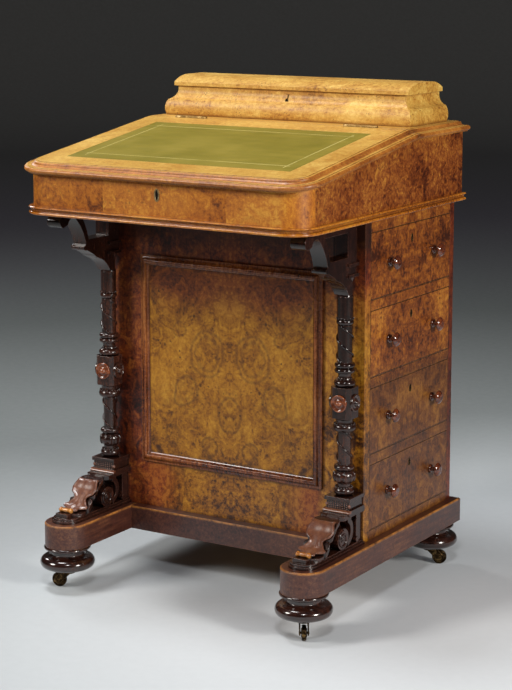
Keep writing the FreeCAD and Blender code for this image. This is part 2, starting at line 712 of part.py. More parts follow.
def burr_panel():
    half = "panel_half - panel_moulding_width"
    low = "panel_bottom + panel_moulding_width"
    high = "panel_bottom + panel_height - panel_moulding_width"
    depth = ("pedestal_front_y - panel_thickness", "pedestal_front_y")
    keep(board("burr_panel", (f"-({half})", half), depth, (low, high)), "burr_panel")


# ---------------------------------------------------------------- writing box

def case_front():
    """Front board with its rounded corner blocks, sloped along the top."""
    body = new_body("case_front")
    straight = "case_half - case_corner_radius"
    outline = [("-case_half", "corner_y", QUARTER), (f"-({straight})", "case_front_y"),
               (straight, "case_front_y", QUARTER), ("case_half", "corner_y"),
               ("well_half", "corner_y"), ("well_half", "well_front_y"),
               ("-well_half", "well_front_y"), ("-well_half", "corner_y")]
    pad(body, new_sketch(body, "XY_Plane", outline, lift="pedestal_top"), "case_height")
    rim = "slope_seat_z - tan(slope_angle) * (break_y - ({y}))"
    near, far = "case_front_y - 1", "corner_y + 1"
    above = [(near, rim.format(y=near)), (far, rim.format(y=far)), (far, "top_z + 1"),
             (near, "top_z + 1")]
    pocket(body, new_sketch(body, "YZ_Plane", above))
    eye_z = "lock_z + keyhole_length / 2"
    hole = new_sketch(body, "XZ_Plane", keyhole(eye_z), lift="-case_front_y")
    pocket(body, hole, "case_board")
    lining = keyhole(eye_z, margin="escutcheon_wall")
    pocket(body, new_sketch(body, "XZ_Plane", lining, lift="-case_front_y"), "escutcheon_depth")
    mortise = rectangle("-lock_width / 2", "lock_width / 2", "lock_z - lock_height / 2",
                        "lock_z + lock_height / 2")
    recess = new_sketch(body, "XZ_Plane", mortise, lift="-well_front_y")
    pocket(body, recess, "lock_thickness", back=True)
    keep(body, "case_front")


def case_side(name):
    body = new_body(f"case_side_{name}")
    rim = "slope_seat_z - tan(slope_angle) * (break_y - corner_y)"
    outline = [("corner_y", "pedestal_top"), ("well_back_y", "pedestal_top"),
               ("well_back_y", "flat_under_z"), ("break_y", "flat_under_z"),
               ("break_y", "slope_seat_z"), ("corner_y", rim)]
    pad(body, new_sketch(body, "YZ_Plane", outline), "case_board", both=True)
    place(body, f"{SIDES[name]} * (case_half - case_board / 2)")
    keep(body, f"case_side_{name}")


def case_back_and_floor():
    back = board("case_back", ("-case_half", "case_half"), ("well_back_y", "back_y"),
                 ("pedestal_top", "flat_under_z"))
    floor = board("case_floor", ("-well_half", "well_half"), ("well_front_y", "well_back_y"),
                  ("pedestal_top", "well_floor_z"))
    keep(back, "case_back")
    keep(floor, "case_floor")


def run_round_front(half, front, radius, back):
    """Open path down one side, round both front corners and back up the other side."""
    right, left = half, f"-({half})"
    return [(right, back, 0), (right, f"{front} + {radius}", -QUARTER),
            (f"{right} - ({radius})", front, 0), (f"{left} + ({radius})", front, -QUARTER),
            (left, f"{front} + {radius}", 0), (left, back, 0)]


def add_path(sketch, points):
    """Draw an open path through (across, up, bulge) points, bound at every joint."""
    spots = [FreeCAD.Vector(number(p[0]), number(p[1]), 0) for p in points]
    last = None
    for i in range(len(points) - 1):
        edge = add_edge(sketch, spots[i], spots[i + 1], points[i][2])
        if last:
            join = Sketcher.Constraint("Coincident", last[0], last[2], edge[0], edge[1])
            sketch.addConstraint(join)
        hold(sketch, "DistanceX", edge[0], edge[1], points[i][0])
        hold(sketch, "DistanceY", edge[0], edge[1], points[i][1])
        if points[i][2]:
            fix_centre(sketch, edge[0], points[i], points[i + 1], points[i][2])
        last = edge
    hold(sketch, "DistanceX", last[0], last[2], points[-1][0])
    hold(sketch, "DistanceY", last[0], last[2], points[-1][1])


def moulded_run(body, path, section, back):
    """Sweep a section, drawn at the right-hand back end, along a path round the front."""
    spine = new_sketch(body, "XY_Plane")
    add_path(spine, path)
    profile = new_sketch(body, "XZ_Plane", section, lift=f"-({back})")
    pipe = body.newObject("PartDesign::AdditivePipe", "Run")
    pipe.Profile = profile
    pipe.Spine = spine
    return pipe


def case_moulding():
    """Moulding round the foot of the case: bead, quirk, hollow and fillet."""
    body = new_body("case_moulding")
    proud, tall = "case_half + case_moulding_projection", "case_moulding_height"
    bead_face, quirk_face = f"{proud} - case_bead / 2", f"{proud} - case_moulding_projection / 2"
    section = [("case_half", "0"), (bead_face, "0", 1), (bead_face, "case_bead"),
               (quirk_face, "case_bead"), (quirk_face, "case_bead + case_quirk", -0.45),
               (proud, f"{tall} * 0.8"), (proud, f"{tall} * 0.92"),
               (f"{proud} - case_quirk", tall), ("case_half", tall)]
    path = run_round_front("case_half", "case_front_y", "case_corner_radius", "back_y")
    moulded_run(body, path, section, "back_y")
    place(body, z="pedestal_top")
    keep(body, "case_moulding")


def edge_section():
    """Section of the top's moulded edge: ovolo, hollow, fillet, torus and lower fillet."""
    nose = "core_half + edge_moulding_width - torus"
    torus_low = "edge_fillet - top_board"
    torus_top = f"{torus_low} + 2 * torus"
    ovolo_low = "-edge_arris - edge_ovolo"
    return [("core_half", "-top_board"), (f"{nose} - edge_fillet / 2", "-top_board"),
            (f"{nose} - edge_fillet / 2", torus_low), (nose, torus_low, 1), (nose, torus_top),
            (f"{nose} - edge_fillet", torus_top),
            (f"{nose} - edge_fillet", f"{torus_top} + edge_arris", -0.3),
            ("core_half + 2 * edge_ovolo", ovolo_low, 0.6),
            ("core_half + edge_ovolo", "-edge_arris"), ("core_half", "-edge_arris")]


def mirrored(section):
    """The same section on the other side, walked the other way round."""
    count = len(section)
    bulges = [section[i][2] if len(section[i]) > 2 else 0 for i in range(count)]
    return [(f"-({section[i][0]})", section[i][1], bulges[i - 1]) for i in reversed(range(count))]


def hinge_housing(body, side, tilt="0"):
    """Cut the seats of the two slope hinges; side is +1 in the fixed board, -1 in the lid."""
    def turned_back(y, z):
        return (f"({y}) * cos({tilt}) + ({z}) * sin({tilt})",
                f"({z}) * cos({tilt}) - ({y}) * sin({tilt})")
    near, far = f"{side} * (break_gap / 2 - 1)", f"{side} * (break_gap / 2 + plate_thickness)"
    seat = [turned_back(near, "-plate_width"), turned_back(far, "-plate_width"),
            turned_back(far, "0"), turned_back(near, "0")]
    for hand in SIDES.values():
        middle = f"{hand} * hinge_spread / 2"
        pocket(body, new_sketch(body, "YZ_Plane", seat, lift=middle), "hinge_length", both=True)
        groove = new_sketch(body, "YZ_Plane", lift=middle)
        add_circle(groove, "0", "0", "barrel_diameter + 2 * barrel_play")
        pocket(body, groove, "hinge_length", both=True)


def top_fixed_board():
    """Flat board behind the slope, moulded along both ends and housed for the hinges."""
    body = new_body("top_board")
    deep = "flat_depth - break_gap / 2"
    across = rectangle("-core_half", "core_half", "-top_board", "0")
    for outline in (across, edge_section(), mirrored(edge_section())):
        pad(body, new_sketch(body, "XZ_Plane", outline, lift="-flat_depth"), deep)
    hinge_housing(body, 1)
    place(body, y="break_y", z="top_z")
    keep(body, "top_board")


def on_slope(thing):
    """Set an object down on the slope, its own Y running up to the break."""
    place(thing, "0", "break_y", "top_z", turn_about(ALONG_X, number("slope_angle")))
    bind(thing, Placement__Rotation__Angle="slope_angle")
    return thing


def slope_lid():
    """Sloping lid: core board, moulded edge round three sides, leather recess."""
    body = new_body("slope_lid")
    front = "edge_moulding_width - lid_length"
    outline = [("-core_half", f"{front} + core_radius", QUARTER),
               ("-core_half + core_radius", front), ("core_half - core_radius", front, QUARTER),
               ("core_half", f"{front} + core_radius"), ("core_half", "0"), ("-core_half", "0")]
    pad(body, new_sketch(body, "XY_Plane", outline), "top_board", back=True)
    path = run_round_front("core_half", front, "core_radius", "0")
    moulded_run(body, path, edge_section(), "0")
    drop = "(top_board + 1)"
    beyond = [(f"-break_gap / 2 - {drop} * tan(slope_angle)", f"-{drop}"), ("5", f"-{drop}"),
              ("5", "1"), ("-break_gap / 2 + tan(slope_angle)", "1")]
    pocket(body, new_sketch(body, "YZ_Plane", beyond))
    recess = rectangle("-leather_half", "leather_half", "leather_front - lid_length",
                       "-leather_margin")
    pocket(body, new_sketch(body, "XY_Plane", recess), "leather_thickness")
    hinge_housing(body, -1, "slope_angle")
    keep(on_slope(body), "slope_lid")


def slope_leather():
    body = new_body("slope_leather")
    half = "leather_half - leather_play"
    skin = rectangle(f"-({half})", half, "leather_front - lid_length + leather_play",
                     "-leather_margin - leather_play")
    pad(body, new_sketch(body, "XY_Plane", skin), "leather_thickness", back=True)
    keep(on_slope(body), "slope_leather")


# ---------------------------------------------------------------- hinges and locks

def hinge_leaf(label, side, length, width, gap, bore, knuckles):
    """One leaf hanging down from a barrel along X, with its knuckles between given places."""
    body = new_body(label)
    near, far = f"{side} * ({gap}) / 2", f"{side} * (({gap}) / 2 + plate_thickness)"
    top = "-barrel_diameter / 2 - barrel_play"
    plate = rectangle(near, far, f"-({width})", top)
    pad(body, new_sketch(body, "YZ_Plane", plate), length, both=True)
    for low, high in knuckles:
        web = rectangle(near, far, top, "0")
        pad(body, new_sketch(body, "YZ_Plane", web, lift=low), f"({high}) - ({low})")
        barrel = new_sketch(body, "YZ_Plane", lift=low)
        add_circle(barrel, "0", "0", "barrel_diameter")
        pad(body, barrel, f"({high}) - ({low})")
    hole = new_sketch(body, "YZ_Plane")
    add_circle(hole, "0", "0", bore)
    pocket(body, hole)
    return body


def butt_hinge(label, length, width, gap):
    """Fixed leaf with its pin, and moving leaf, of one butt hinge with three knuckles."""
    inner, outer = f"({length}) / 6 + barrel_play / 2", f"({length}) / 2"
    outside = [(f"-({outer})", f"-({inner})"), (inner, outer)]
    fixed = hinge_leaf(f"{label}_fixed", 1, length, width, gap, "pin_diameter", outside)
    middle = [(f"-({inner}) + barrel_play", f"{inner} - barrel_play")]
    moving = hinge_leaf(f"{label}_moving", -1, length, width, gap,
                        "pin_diameter + 2 * pin_play", middle)
    pin = new_body(f"{label}_pin")
    bar = new_sketch(pin, "YZ_Plane")
    add_circle(bar, "0", "0", "pin_diameter")
    pad(pin, bar, length, both=True)
    return [fixed, pin], [moving]


def hinges():
    """Two hinges at the break of the slope and two behind the stationery box."""
    fixed = []
    slope_leaves = []
    box_leaves = []
    lying = turn_about(ALONG_X, -90)
    for name, side in SIDES.items():
        still, moving = butt_hinge(f"slope_hinge_{name}", "hinge_length", "plate_width", "break_gap")
        for part in still + moving:
            place(part, f"{side} * hinge_spread / 2", "break_y", "top_z")
        fixed += still
        slope_leaves += moving
        still, moving = butt_hinge(f"box_hinge_{name}", "box_hinge_length",
                                   "box_plate_width + barrel_diameter / 2", "box_lid_gap")
        for part in still + moving:
            place(part, f"{side} * box_hinge_spread / 2", "box_axis_y", "box_axis_z", lying)
        fixed += still
        box_leaves += moving
    group("fixed_hinge_leaves", fixed)
    group("slope_lid_hinge_leaves", slope_leaves)
    group("box_lid_hinge_leaves", box_leaves)


def locks():
    """Lock cases let into the backs of the two fronts, and the brass keyhole lining."""
    slope_lock = board("slope_lock", ("-lock_width / 2", "lock_width / 2"),
                       ("well_front_y - lock_thickness", "well_front_y"),
                       ("lock_z - lock_height / 2", "lock_z + lock_height / 2"))
    box_lock = board("box_lock", ("-box_lock_width / 2", "box_lock_width / 2"),
                     ("box_inner_front_y - box_lock_thickness", "box_inner_front_y"),
                     ("top_z + box_lock_up - box_lock_height / 2",
                      "top_z + box_lock_up + box_lock_height / 2"))
    lining = new_body("escutcheon")
    rim = keyhole("lock_z + keyhole_length / 2", margin="escutcheon_wall")
    pad(lining, new_sketch(lining, "XZ_Plane", rim, lift="-case_front_y"), "escutcheon_depth",
        back=True)
    hole = keyhole("lock_z + keyhole_length / 2")
    pocket(lining, new_sketch(lining, "XZ_Plane", hole))
    group("locks", [slope_lock, box_lock, lining])


# ---------------------------------------------------------------- nest in the well

def nest_carcass():
    """Boards of the nest: two drawer bays below and three pigeonholes above."""
    deep = ("nest_front_y", "well_back_y")
    inner = ("-nest_half_bay", "nest_half_bay")
    tall = ("well_floor_z", "nest_top_z")
    under = ("nest_floor_z", "nest_shelf_z")
    over = ("nest_shelf_z + nest_board", "nest_top_z - nest_board")
    boards = [board("nest_end", ("-well_half", "-nest_half_bay"), deep, tall),
              board("nest_end", ("nest_half_bay", "well_half"), deep, tall),
              board("nest_bottom", inner, deep, ("well_floor_z", "nest_floor_z")),
              board("nest_shelf", inner, deep, ("nest_shelf_z", over[0])),
              board("nest_top", inner, deep, (over[1], "nest_top_z")),
              board("nest_divider", ("-nest_board / 2", "nest_board / 2"), deep, under)]
    for hand in SIDES.values():
        middle = f"{hand} * nest_half_bay / 3"
        across = (f"{middle} - nest_board / 2", f"{middle} + nest_board / 2")
        boards.append(board("nest_partition", across, deep, over))
    group("nest_carcass", boards)


def nest_drawer(name):
    """Small drawer that draws out towards the sitter, with its knob."""
    side = SIDES[name]
    reach = [f"{side} * (nest_board / 2 + nest_gap)", f"{side} * (nest_half_bay - nest_gap)"]
    left, right = reach if side > 0 else reach[::-1]
    low, high = "nest_floor_z + drawer_seat", "nest_shelf_z - nest_gap"
    near = "nest_front_y + nest_front"
    far = "well_back_y - nest_board"
    inside = (f"{left} + nest_tray_board", f"{right} - nest_tray_board")
    side_z = (low, f"{high} - nest_side_drop")
    base = f"{low} + nest_tray_bottom"
    pieces = [board("front", (left, right), ("nest_front_y", near), (low, high)),
              board("side", (left, inside[0]), (near, far), side_z),
              board("side", (inside[1], right), (near, far), side_z),
              board("bottom", inside, (near, far), (low, base)),
              board("back", inside, (f"{far} - nest_tray_board", far), (base, side_z[1]))]
    ball = new_body(f"nest_knob_{name}")
    half = "nest_knob_projection / 2"
    steps = [(half, "nest_knob_diameter * 0.28", "nest_knob_diameter * 0.2", -0.2),
             (half, "nest_knob_diameter / 2", "nest_knob_diameter * 0.15", 0.6)]
    revolve(ball, turned("0", steps))
    middle = f"{side} * (nest_board / 2 + nest_half_bay) / 2"
    place(ball, middle, "nest_front_y", "(nest_floor_z + nest_shelf_z) / 2",
          turn_about(ALONG_X, 90))
    group(f"nest_drawer_{name}", pieces + [ball])


# ---------------------------------------------------------------- stationery box

def box_section():
    """Section of the box's wall: swelling foot, hollow neck and flat rim."""
    foot = "box_swell"
    return [(foot, "0"), ("box_wall", "0"), ("box_wall", "box_wall_height"),
            ("box_neck_step", "box_wall_height"), ("box_neck_step", "box_wall_height - 4", -0.35),
            (f"{foot} * 1.5", "box_bulge_height", 0.26)]


def box_walls():
    """Mitred front and end walls, and the plain back let in between the ends."""
    front = mitred_bar("box_front", "-box_half", "box_half", "box_wall", box_section())
    seat = rectangle("-box_lock_width / 2", "box_lock_width / 2",
                     "box_lock_up - box_lock_height / 2", "box_lock_up + box_lock_height / 2")
    pocket(front, new_sketch(front, "XZ_Plane", seat, lift="-box_wall"), "box_lock_thickness",
           back=True)
    eye = keyhole("box_lock_up + keyhole_length / 2")
    pocket(front, new_sketch(front, "XZ_Plane", eye))
    place(front, y="box_front_y", z="top_z")
    right = mitred_bar("box_right", "0", "box_depth", "box_wall", box_section(), (True, False))
    place(right, "box_half", "box_front_y", "top_z", turn_about(UP, 90))
    left = mitred_bar("box_left", "-box_depth", "0", "box_wall", box_section(), (False, True))
    place(left, "-box_half", "box_front_y", "top_z", turn_about(UP, -90))
    across = rectangle("-box_inner_half", "box_inner_half", "box_inner_back_y", "box_back_y")
    back = new_body("box_back")
    pad(back, new_sketch(back, "XY_Plane", across, lift="top_z"), "box_wall_height")
    box_hinge_housing(back, "box_top_z - plate_thickness", "box_top_z + 1")
    group("box_walls", [front, right, left, back])


def box_hinge_housing(body, low, high):
    """Cut the seats of the box hinges between two heights."""
    for hand in SIDES.values():
        middle = f"{hand} * box_hinge_spread / 2"
        half = "box_hinge_length / 2"
        seat = rectangle(f"{middle} - {half}", f"{middle} + {half}",
                         "box_axis_y - box_plate_width - barrel_diameter / 2", "box_back_y + 1")
        sketch = new_sketch(body, "XY_Plane", seat, lift=high)
        pocket(body, sketch, f"({high}) - ({low})")


def box_inside():
    """Floor of the box and the partitions that make its compartments."""
    depth = ("box_inner_front_y", "box_inner_back_y")
    floor_top = "top_z + box_floor"
    pieces = [board("box_floor", ("-box_inner_half", "box_inner_half"), depth,
                    ("top_z", floor_top))]
    for hand in SIDES.values():
        middle = f"{hand} * box_inner_half / 3"
        across = (f"{middle} - box_partition / 2", f"{middle} + box_partition / 2")
        pieces.append(board("box_partition", across, depth,
                            (floor_top, f"{floor_top} + box_partition_height")))
    group("box_partitions", pieces)


def box_lid():
    """Lid with a square edge and a crowned top, flat at its ends."""
    body = new_body("box_lid")
    near, far = "box_front_y + box_lid_step", "box_back_y"
    low = "box_top_z + box_lid_gap"
    edge = f"{low} + box_lid_edge"
    crown = f"{edge} + box_lid_crown"
    run = "(box_depth - box_lid_step - box_lid_crest) / 2"
    swell = math.tan(math.atan(number("box_lid_crown") / number(run)) / 2)
    outline = [(near, low), (far, low), (far, edge, swell), (f"{far} - {run}", crown),
               (f"{near} + {run}", crown, swell), (near, edge)]
    pad(body, new_sketch(body, "YZ_Plane", outline), "2 * (box_half - box_lid_inset)",
        both=True)
    box_hinge_housing(body, "box_top_z", "box_top_z + box_lid_gap + plate_thickness")
    keep(body, "box_lid")


# ---------------------------------------------------------------- columns

def column(name):
    """Turned column with a square block at its waist, tenoned at both ends."""
    body = new_body(f"column_{name}")
    tenon = plain("tenon_length", "tenon_diameter")
    low_core = "low_neck / 2"
    steps = [tenon, bead("base_ring_height", "base_ring"), plain("low_neck_height", "low_neck"),
             ("bulb_height", low_core, low_core, 0.55), bead("bulb_ring_height", "base_ring"),
             plain("low_shaft_height", "low_shaft"), bead("waist_ring_height", "waist_ring"),
             ("block_taper_height", "block_taper / 2", "block / 2 - 1", -0.3),
             plain("block_height", "block_taper"), bead("block_bead_height", "block_bead"),
             hollow("cove_height", "cove", "cove", -0.2), bead("twin_ring_height", "twin_ring"),
             bead("twin_ring_height", "twin_ring"), plain("high_shaft_height", "high_shaft"),
             bead("collar_height", "collar"), plain("high_neck_height", "high_neck"), tenon]
    revolve(body, turned("-tenon_length", steps))
    half, cut = "block / 2", "block_chamfer"
    square = [(f"-{half}", f"-{half} + {cut}"), (f"-{half} + {cut}", f"-{half}"),
              (f"{half} - {cut}", f"-{half}"), (half, f"-{half} + {cut}"),
              (half, f"{half} - {cut}"), (f"{half} - {cut}", half),
              (f"-{half} + {cut}", half), (f"-{half}", f"{half} - {cut}")]
    pad(body, new_sketch(body, "XY_Plane", square, lift="block_low"), "block_height")
    place(body, f"{SIDES[name]} * foot_x", "column_y", "console_top")
    keep(body, f"column_{name}")


def roundel(label):
    """Turned boss: a rim, a hollow and a button."""
    body = new_body(label)
    rim, button, proud = "roundel_diameter / 2", "roundel_button / 2", "roundel_projection"
    outline = [("0", "0"), (rim, "0"), (rim, f"{proud} * 0.3", 0.8),
               (f"{rim} - roundel_rim", f"{proud} * 0.3", -0.3), (button, f"{proud} * 0.3", 0.3),
               (f"{button} * 0.3", proud), ("0", proud)]
    revolve(body, outline)
    return body


def column_roundels():
    """Bosses on the front and both side faces of each column's block."""
    bosses = []
    half = "block / 2"
    level = "console_top + block_low + block_height / 2"
    for name, side in SIDES.items():
        x = f"{side} * foot_x"
        front = roundel(f"roundel_{name}_front")
        bosses.append(place(front, x, f"column_y - {half}", level, turn_about(ALONG_X, 90)))
        for hand in SIDES.values():
            boss = roundel(f"roundel_{name}_{hand}")
            spot = f"{x} + {hand} * {half}"
            bosses.append(place(boss, spot, "column_y", level, turn_about(ALONG_Y, 90 * hand)))
    group("column_roundels", bosses)


# ---------------------------------------------------------------- foot consoles

def side_pad(body, outline, width):
    """Thicken a side view to both sides of the middle plane."""
    return pad(body, new_sketch(body, "YZ_Plane", outline), width, both=True)


def leaf(body):
    """Sheet of carved leaf that runs down from the lip to the base, cut into lobes."""
    lip = "(console_height - console_slab - console_block - console_lip)"
    outline = [(f"-leaf_reach * {out}", f"console_base + ({lip} - console_base) * {up}", bulge)
               for out, up, bulge in LEAF_SIDE]
    side_pad(body, outline, "lobe_width")
    edge = "(lobe_width / 2 + 1)"
    cuts = []
    for hand in SIDES.values():
        for near, deep, far in LEAF_NOTCHES:
            cuts.append([(f"{hand} * {edge}", f"-leaf_reach * {near}", -0.15 * hand),
                         (f"{hand} * leaf_waist / 2", f"-leaf_reach * {deep}", -0.15 * hand),
                         (f"{hand} * {edge}", f"-leaf_reach * {far}")])
        beyond = "-leaf_reach * 1.027"
        cuts.append([(f"{hand} * {edge}", f"-leaf_reach * {LEAF_CORNER}", -0.2 * hand),
                     (f"{hand} * leaf_waist / 3", beyond), (f"{hand} * {edge}", beyond)])
    pocket(body, new_sketch(body, "XY_Plane", *cuts))


def round_bar(body, across, up, diameter, width):
    """A bar of round section along X, through the middle plane."""
    sketch = new_sketch(body, "YZ_Plane")
    add_circle(sketch, across, up, diameter)
    pad(body, sketch, width, both=True)


def console_scrolls(body, base, lip_low):
    """Volute under the leaf, the open scroll that backs it, and the bosses on the post."""
    wide, end = "console_width - console_inset", "-volute_reach + console_volute / 2"
    arm = [(end, f"{lip_low} + 1", -0.72), (end, base), (end, f"{base} + console_scroll", 0.6),
           (end, f"{lip_low} - console_scroll")]
    side_pad(body, arm, f"{wide} - console_inset")
    round_bar(body, "-volute_reach", f"{base} + console_volute * 0.47", "console_volute", wide)
    for level in (f"{base} + scroll_boss / 2", f"{lip_low} - scroll_boss / 2"):
        round_bar(body, "-console_post", level, "scroll_boss", wide)


def console(name):
    """Foot console: moulded base, leaf, scroll, lipped block and top slab.

    Its own frame has y = 0 on the pedestal and z = 0 on the rail.
    """
    body = new_body(f"console_{name}")
    leaf(body)
    base, wide = "console_base", "console_width"
    slab_low = "console_height - console_slab"
    block_low = f"{slab_low} - console_block"
    lip_low = f"{block_low} - console_lip"
    face = f"-({wide})"
    lip = [("0", lip_low), ("0", block_low), (face, block_low, 0.8), (face, lip_low)]
    side_pad(body, lip, f"{wide} + console_inset")
    block_face = f"{face} + console_inset"
    side_pad(body, rectangle(block_face, "0", block_low, slab_low), f"{wide} - 2 * console_inset")
    side_pad(body, rectangle(face, "0", slab_low, "console_height"), wide)
    side_pad(body, rectangle("-console_post", "0", base, lip_low), f"{wide} - 3 * console_inset")
    console_scrolls(body, base, lip_low)
    tip = "-leaf_reach - toe_block_lead"
    side_pad(body, rectangle(tip, f"{tip} + toe_block", base, f"{base} + toe_block_height"),
             "leaf_waist")
    half, front = "console_base_width / 2", "-console_base_reach"
    for step, height in (("console_base_step", base), ("0", f"{base} * 0.6")):
        tip = f"{half} - {step}"
        plan = [(f"-({tip})", f"{front} + {half}", 1), (tip, f"{front} + {half}"), (tip, "0"),
                (f"-({tip})", "0")]
        pad(body, new_sketch(body, "XY_Plane", plan), height)
    socket = new_sketch(body, "XY_Plane", lift="console_height")
    add_circle(socket, "0", "-column_setback", "tenon_diameter")
    pocket(body, socket, "tenon_length")
    place(body, f"{SIDES[name]} * foot_x", "pedestal_front_y", "rail_top")
    keep(body, f"console_{name}")


# ---------------------------------------------------------------- brackets

def bracket(name):
    """Scroll bracket under the writing box, pierced behind its arch.

    Its own frame stands on the column's axis, with z = 0 under the writing box.
    """
    body = new_body(f"bracket_{name}")
    tall, corbel = "bracket_post_height", "corbel_height"
    post = "bracket_post / 2"
    tip, foot = "(column_setback - bracket_reach)", f"-{tall} - {corbel} * 0.9"
    edge, window = ([(f"{tip} * {out}", f"-{tall} * {down}", bulge) for out, down, bulge in table]
                    for table in (BRACKET_EDGE, BRACKET_WINDOW))
    roll = f"{tip} + bracket_roll / 2"
    outline = [(post, "0"), (f"{tip} * 0.82", "0"), (roll, "-bracket_roll * 0.3", 1),
               (roll, "-bracket_roll * 1.3"), *edge,
               (f"-{post} * 0.92", foot), ("0", foot), ("0", f"-{tall}"), (post, f"-{tall}")]
    side_pad(body, outline, "bracket_width")
    pocket(body, new_sketch(body, "YZ_Plane", window))
    reach = f"{post} + bracket_mould"
    for level in (f"-{tall}", f"-{tall} * 0.8"):
        strip = rectangle(f"-({reach})", reach, level, f"{level} + bracket_mould_height")
        side_pad(body, strip, "bracket_width + 2 * bracket_mould")
    flare = [("0", f"-{tall} - {corbel}"), ("high_neck / 2", f"-{tall} - {corbel}", -0.15),
             (f"{post} * 1.15", f"-{tall}"), ("0", f"-{tall}")]
    revolve(body, flare)
    socket = new_sketch(body, "XY_Plane", lift=f"-{tall} - {corbel}")
    add_circle(socket, "0", "0", "tenon_diameter")
    pocket(body, socket, "tenon_length", back=True)
    place(body, f"{SIDES[name]} * foot_x", "column_y", "pedestal_top")
    keep(body, f"bracket_{name}")


# ---------------------------------------------------------------- the whole desk

def build_feet():
    group("bun_feet", [bun_foot(corner) for corner in CORNERS])
    group("caster_sockets", [caster_socket(corner) for corner in CORNERS])
    for corner in CORNERS:
        caster_horn(corner)
        caster_wheel(corner)


def build_pedestal():
    plinth_bands()
    pedestal_boards()
    pedestal_side()
    dust_boards()
    drawer_rails()
    dummy_drawers()
    panel_frame()
    burr_panel()
    for n in DRAWERS:
        drawer(n)


def build_writing_box():
    case_front()
    case_back_and_floor()
    case_moulding()
    top_fixed_board()
    slope_lid()
    slope_leather()
    hinges()
    locks()
    nest_carcass()
    box_walls()
    box_inside()
    box_lid()
    column_roundels()
    for name in SIDES:
        rail(name)
        case_side(name)
        nest_drawer(name)
        column(name)
        console(name)
        bracket(name)


def check_and_export():
    """Stop on any object in error or any bad shape; otherwise write one file per sub-part."""
    doc.recompute()
    for thing in doc.Objects:
        bad = {"Invalid", "Error"} & set(thing.State)
        if bad:
            raise RuntimeError(f"{thing.Name} is {bad}")
    for node in nodes:
        if node.Shape.isNull() or not node.Shape.isValid():
            raise RuntimeError(f"{node.Label} has no good shape")
    os.makedirs("parts", exist_ok=True)
    for node in nodes:
        node.Shape.exportStep(f"parts/{node.Label}.step")


fill_sheet()
build_feet()
build_pedestal()
build_writing_box()
check_and_export()
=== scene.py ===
"""Davenport desk: materials, carved pieces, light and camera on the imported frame."""
import json
import math

import bmesh
import bpy
from mathutils import Matrix, Vector
from mathutils.bvhtree import BVHTree


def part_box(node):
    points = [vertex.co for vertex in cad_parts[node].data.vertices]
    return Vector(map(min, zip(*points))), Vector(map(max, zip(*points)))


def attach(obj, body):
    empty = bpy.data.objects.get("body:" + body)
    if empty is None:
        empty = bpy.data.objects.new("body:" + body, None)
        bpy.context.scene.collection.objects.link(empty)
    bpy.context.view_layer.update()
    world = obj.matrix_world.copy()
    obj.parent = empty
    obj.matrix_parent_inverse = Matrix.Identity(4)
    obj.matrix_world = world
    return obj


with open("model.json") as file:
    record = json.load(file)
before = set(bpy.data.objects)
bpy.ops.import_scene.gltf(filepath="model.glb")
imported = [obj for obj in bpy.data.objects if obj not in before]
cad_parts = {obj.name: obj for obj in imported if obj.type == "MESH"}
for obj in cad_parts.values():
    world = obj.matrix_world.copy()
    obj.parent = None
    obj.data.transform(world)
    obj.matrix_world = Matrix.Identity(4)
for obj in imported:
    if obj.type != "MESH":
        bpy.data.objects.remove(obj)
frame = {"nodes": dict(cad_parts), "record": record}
NODES = frame["nodes"]
BODIES = {name: body for body, names in frame["record"]["behaviour"]["bodies"].items()
          for name in names}
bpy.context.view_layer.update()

MM = 0.001
SIDES = ("left", "right")
DRAWERS = (1, 2, 3, 4)
UPRIGHT, ALONG_X, ALONG_Y = (1, 1, 0.07), (0.07, 1, 1), (1, 0.07, 1)  # grain directions

# Turned and carved detail of a column, in mm above its console.
SHAFTS, SHAFT_GAP = ((50, 103), (214, 273)), 0.5  # ends of the round shafts, bare at each end
RIDGE_PITCH, RIDGE_STARTS, RIDGE_SIZE = 58, 2, 2.3
RIDGE_TURN = {"left": (175, 129), "right": (132, 88)}  # degrees at the top of each shaft
RIDGE_STEPS, RIDGE_CORNERS = 48, 10  # steps a turn, and corners of a ridge's section
BEAD_ROWS = ((12.5, 18), (115, 20), (188.5, 16), (284, 16))  # level and count
BEAD, BEAD_SUNK, BEAD_TALL = 1.7, 0.3, 1.3  # radius, and shares of it
LOBE_LEVEL, LOBE_COUNT, LOBE, LOBE_SUNK = 30, 10, (3.4, 3.0, 8.0), 1.6
ROUNDEL_FORWARD = 17.9  # the front roundel lies further forward of the column's middle

# Carving of a foot console: distances forward of the pedestal and above the rail, in mm.
DRUM_FORWARD, DRUM_LEVEL, DRUM_FACE = 64, 24, 21.75
VOLUTE_RADII, VOLUTE_TURNS, VOLUTE_CORD = (14.4, 5.4), 1.35, 1.9
VOLUTE_START, VOLUTE_STEPS, VOLUTE_TAPER = 90, 56, 0.3
VOLUTE_EYE = (1.6, 3.2, 3.2)
LEAF_OUTLINE = ((57, 3), (66, 5), (75, 12), (85, 20), (92, 24.4), (96, 22.5), (101, 12),
                (106, 17), (111, 23.6), (115.5, 24.2), (118, 19.5), (121, 10), (126, 13),
                (130, 15), (134, 12), (138, 7), (141, 3))  # forward and half width
LEAF_LIFT, LEAF_CROWN, LEAF_CURL, LEAF_THICK = 1.0, 1.2, 3.4, 2.4
LEAF_RIB, LEAF_GRID = 0.16, (16, 64)  # rib's share of the half width; grid across and along
LEAF_CLEAR, LEAF_SLANT = 54, (0, -0.25, -1)  # start and direction of the way down to the scroll
LEAF_SMOOTHINGS = 3
TOE_ROLL = ((0, 0), (3.2, 0), (4.6, 2), (4.6, 4), (3.4, 5.5), (3.2, 8), (4.0, 12.5))
TOE_FORWARD, TOE_SUNK = 150.5, 0.9
BLOCK_FACE, BLOCK_LOW, BLOCK_STUDS = 43.5, 65, (9, 4)
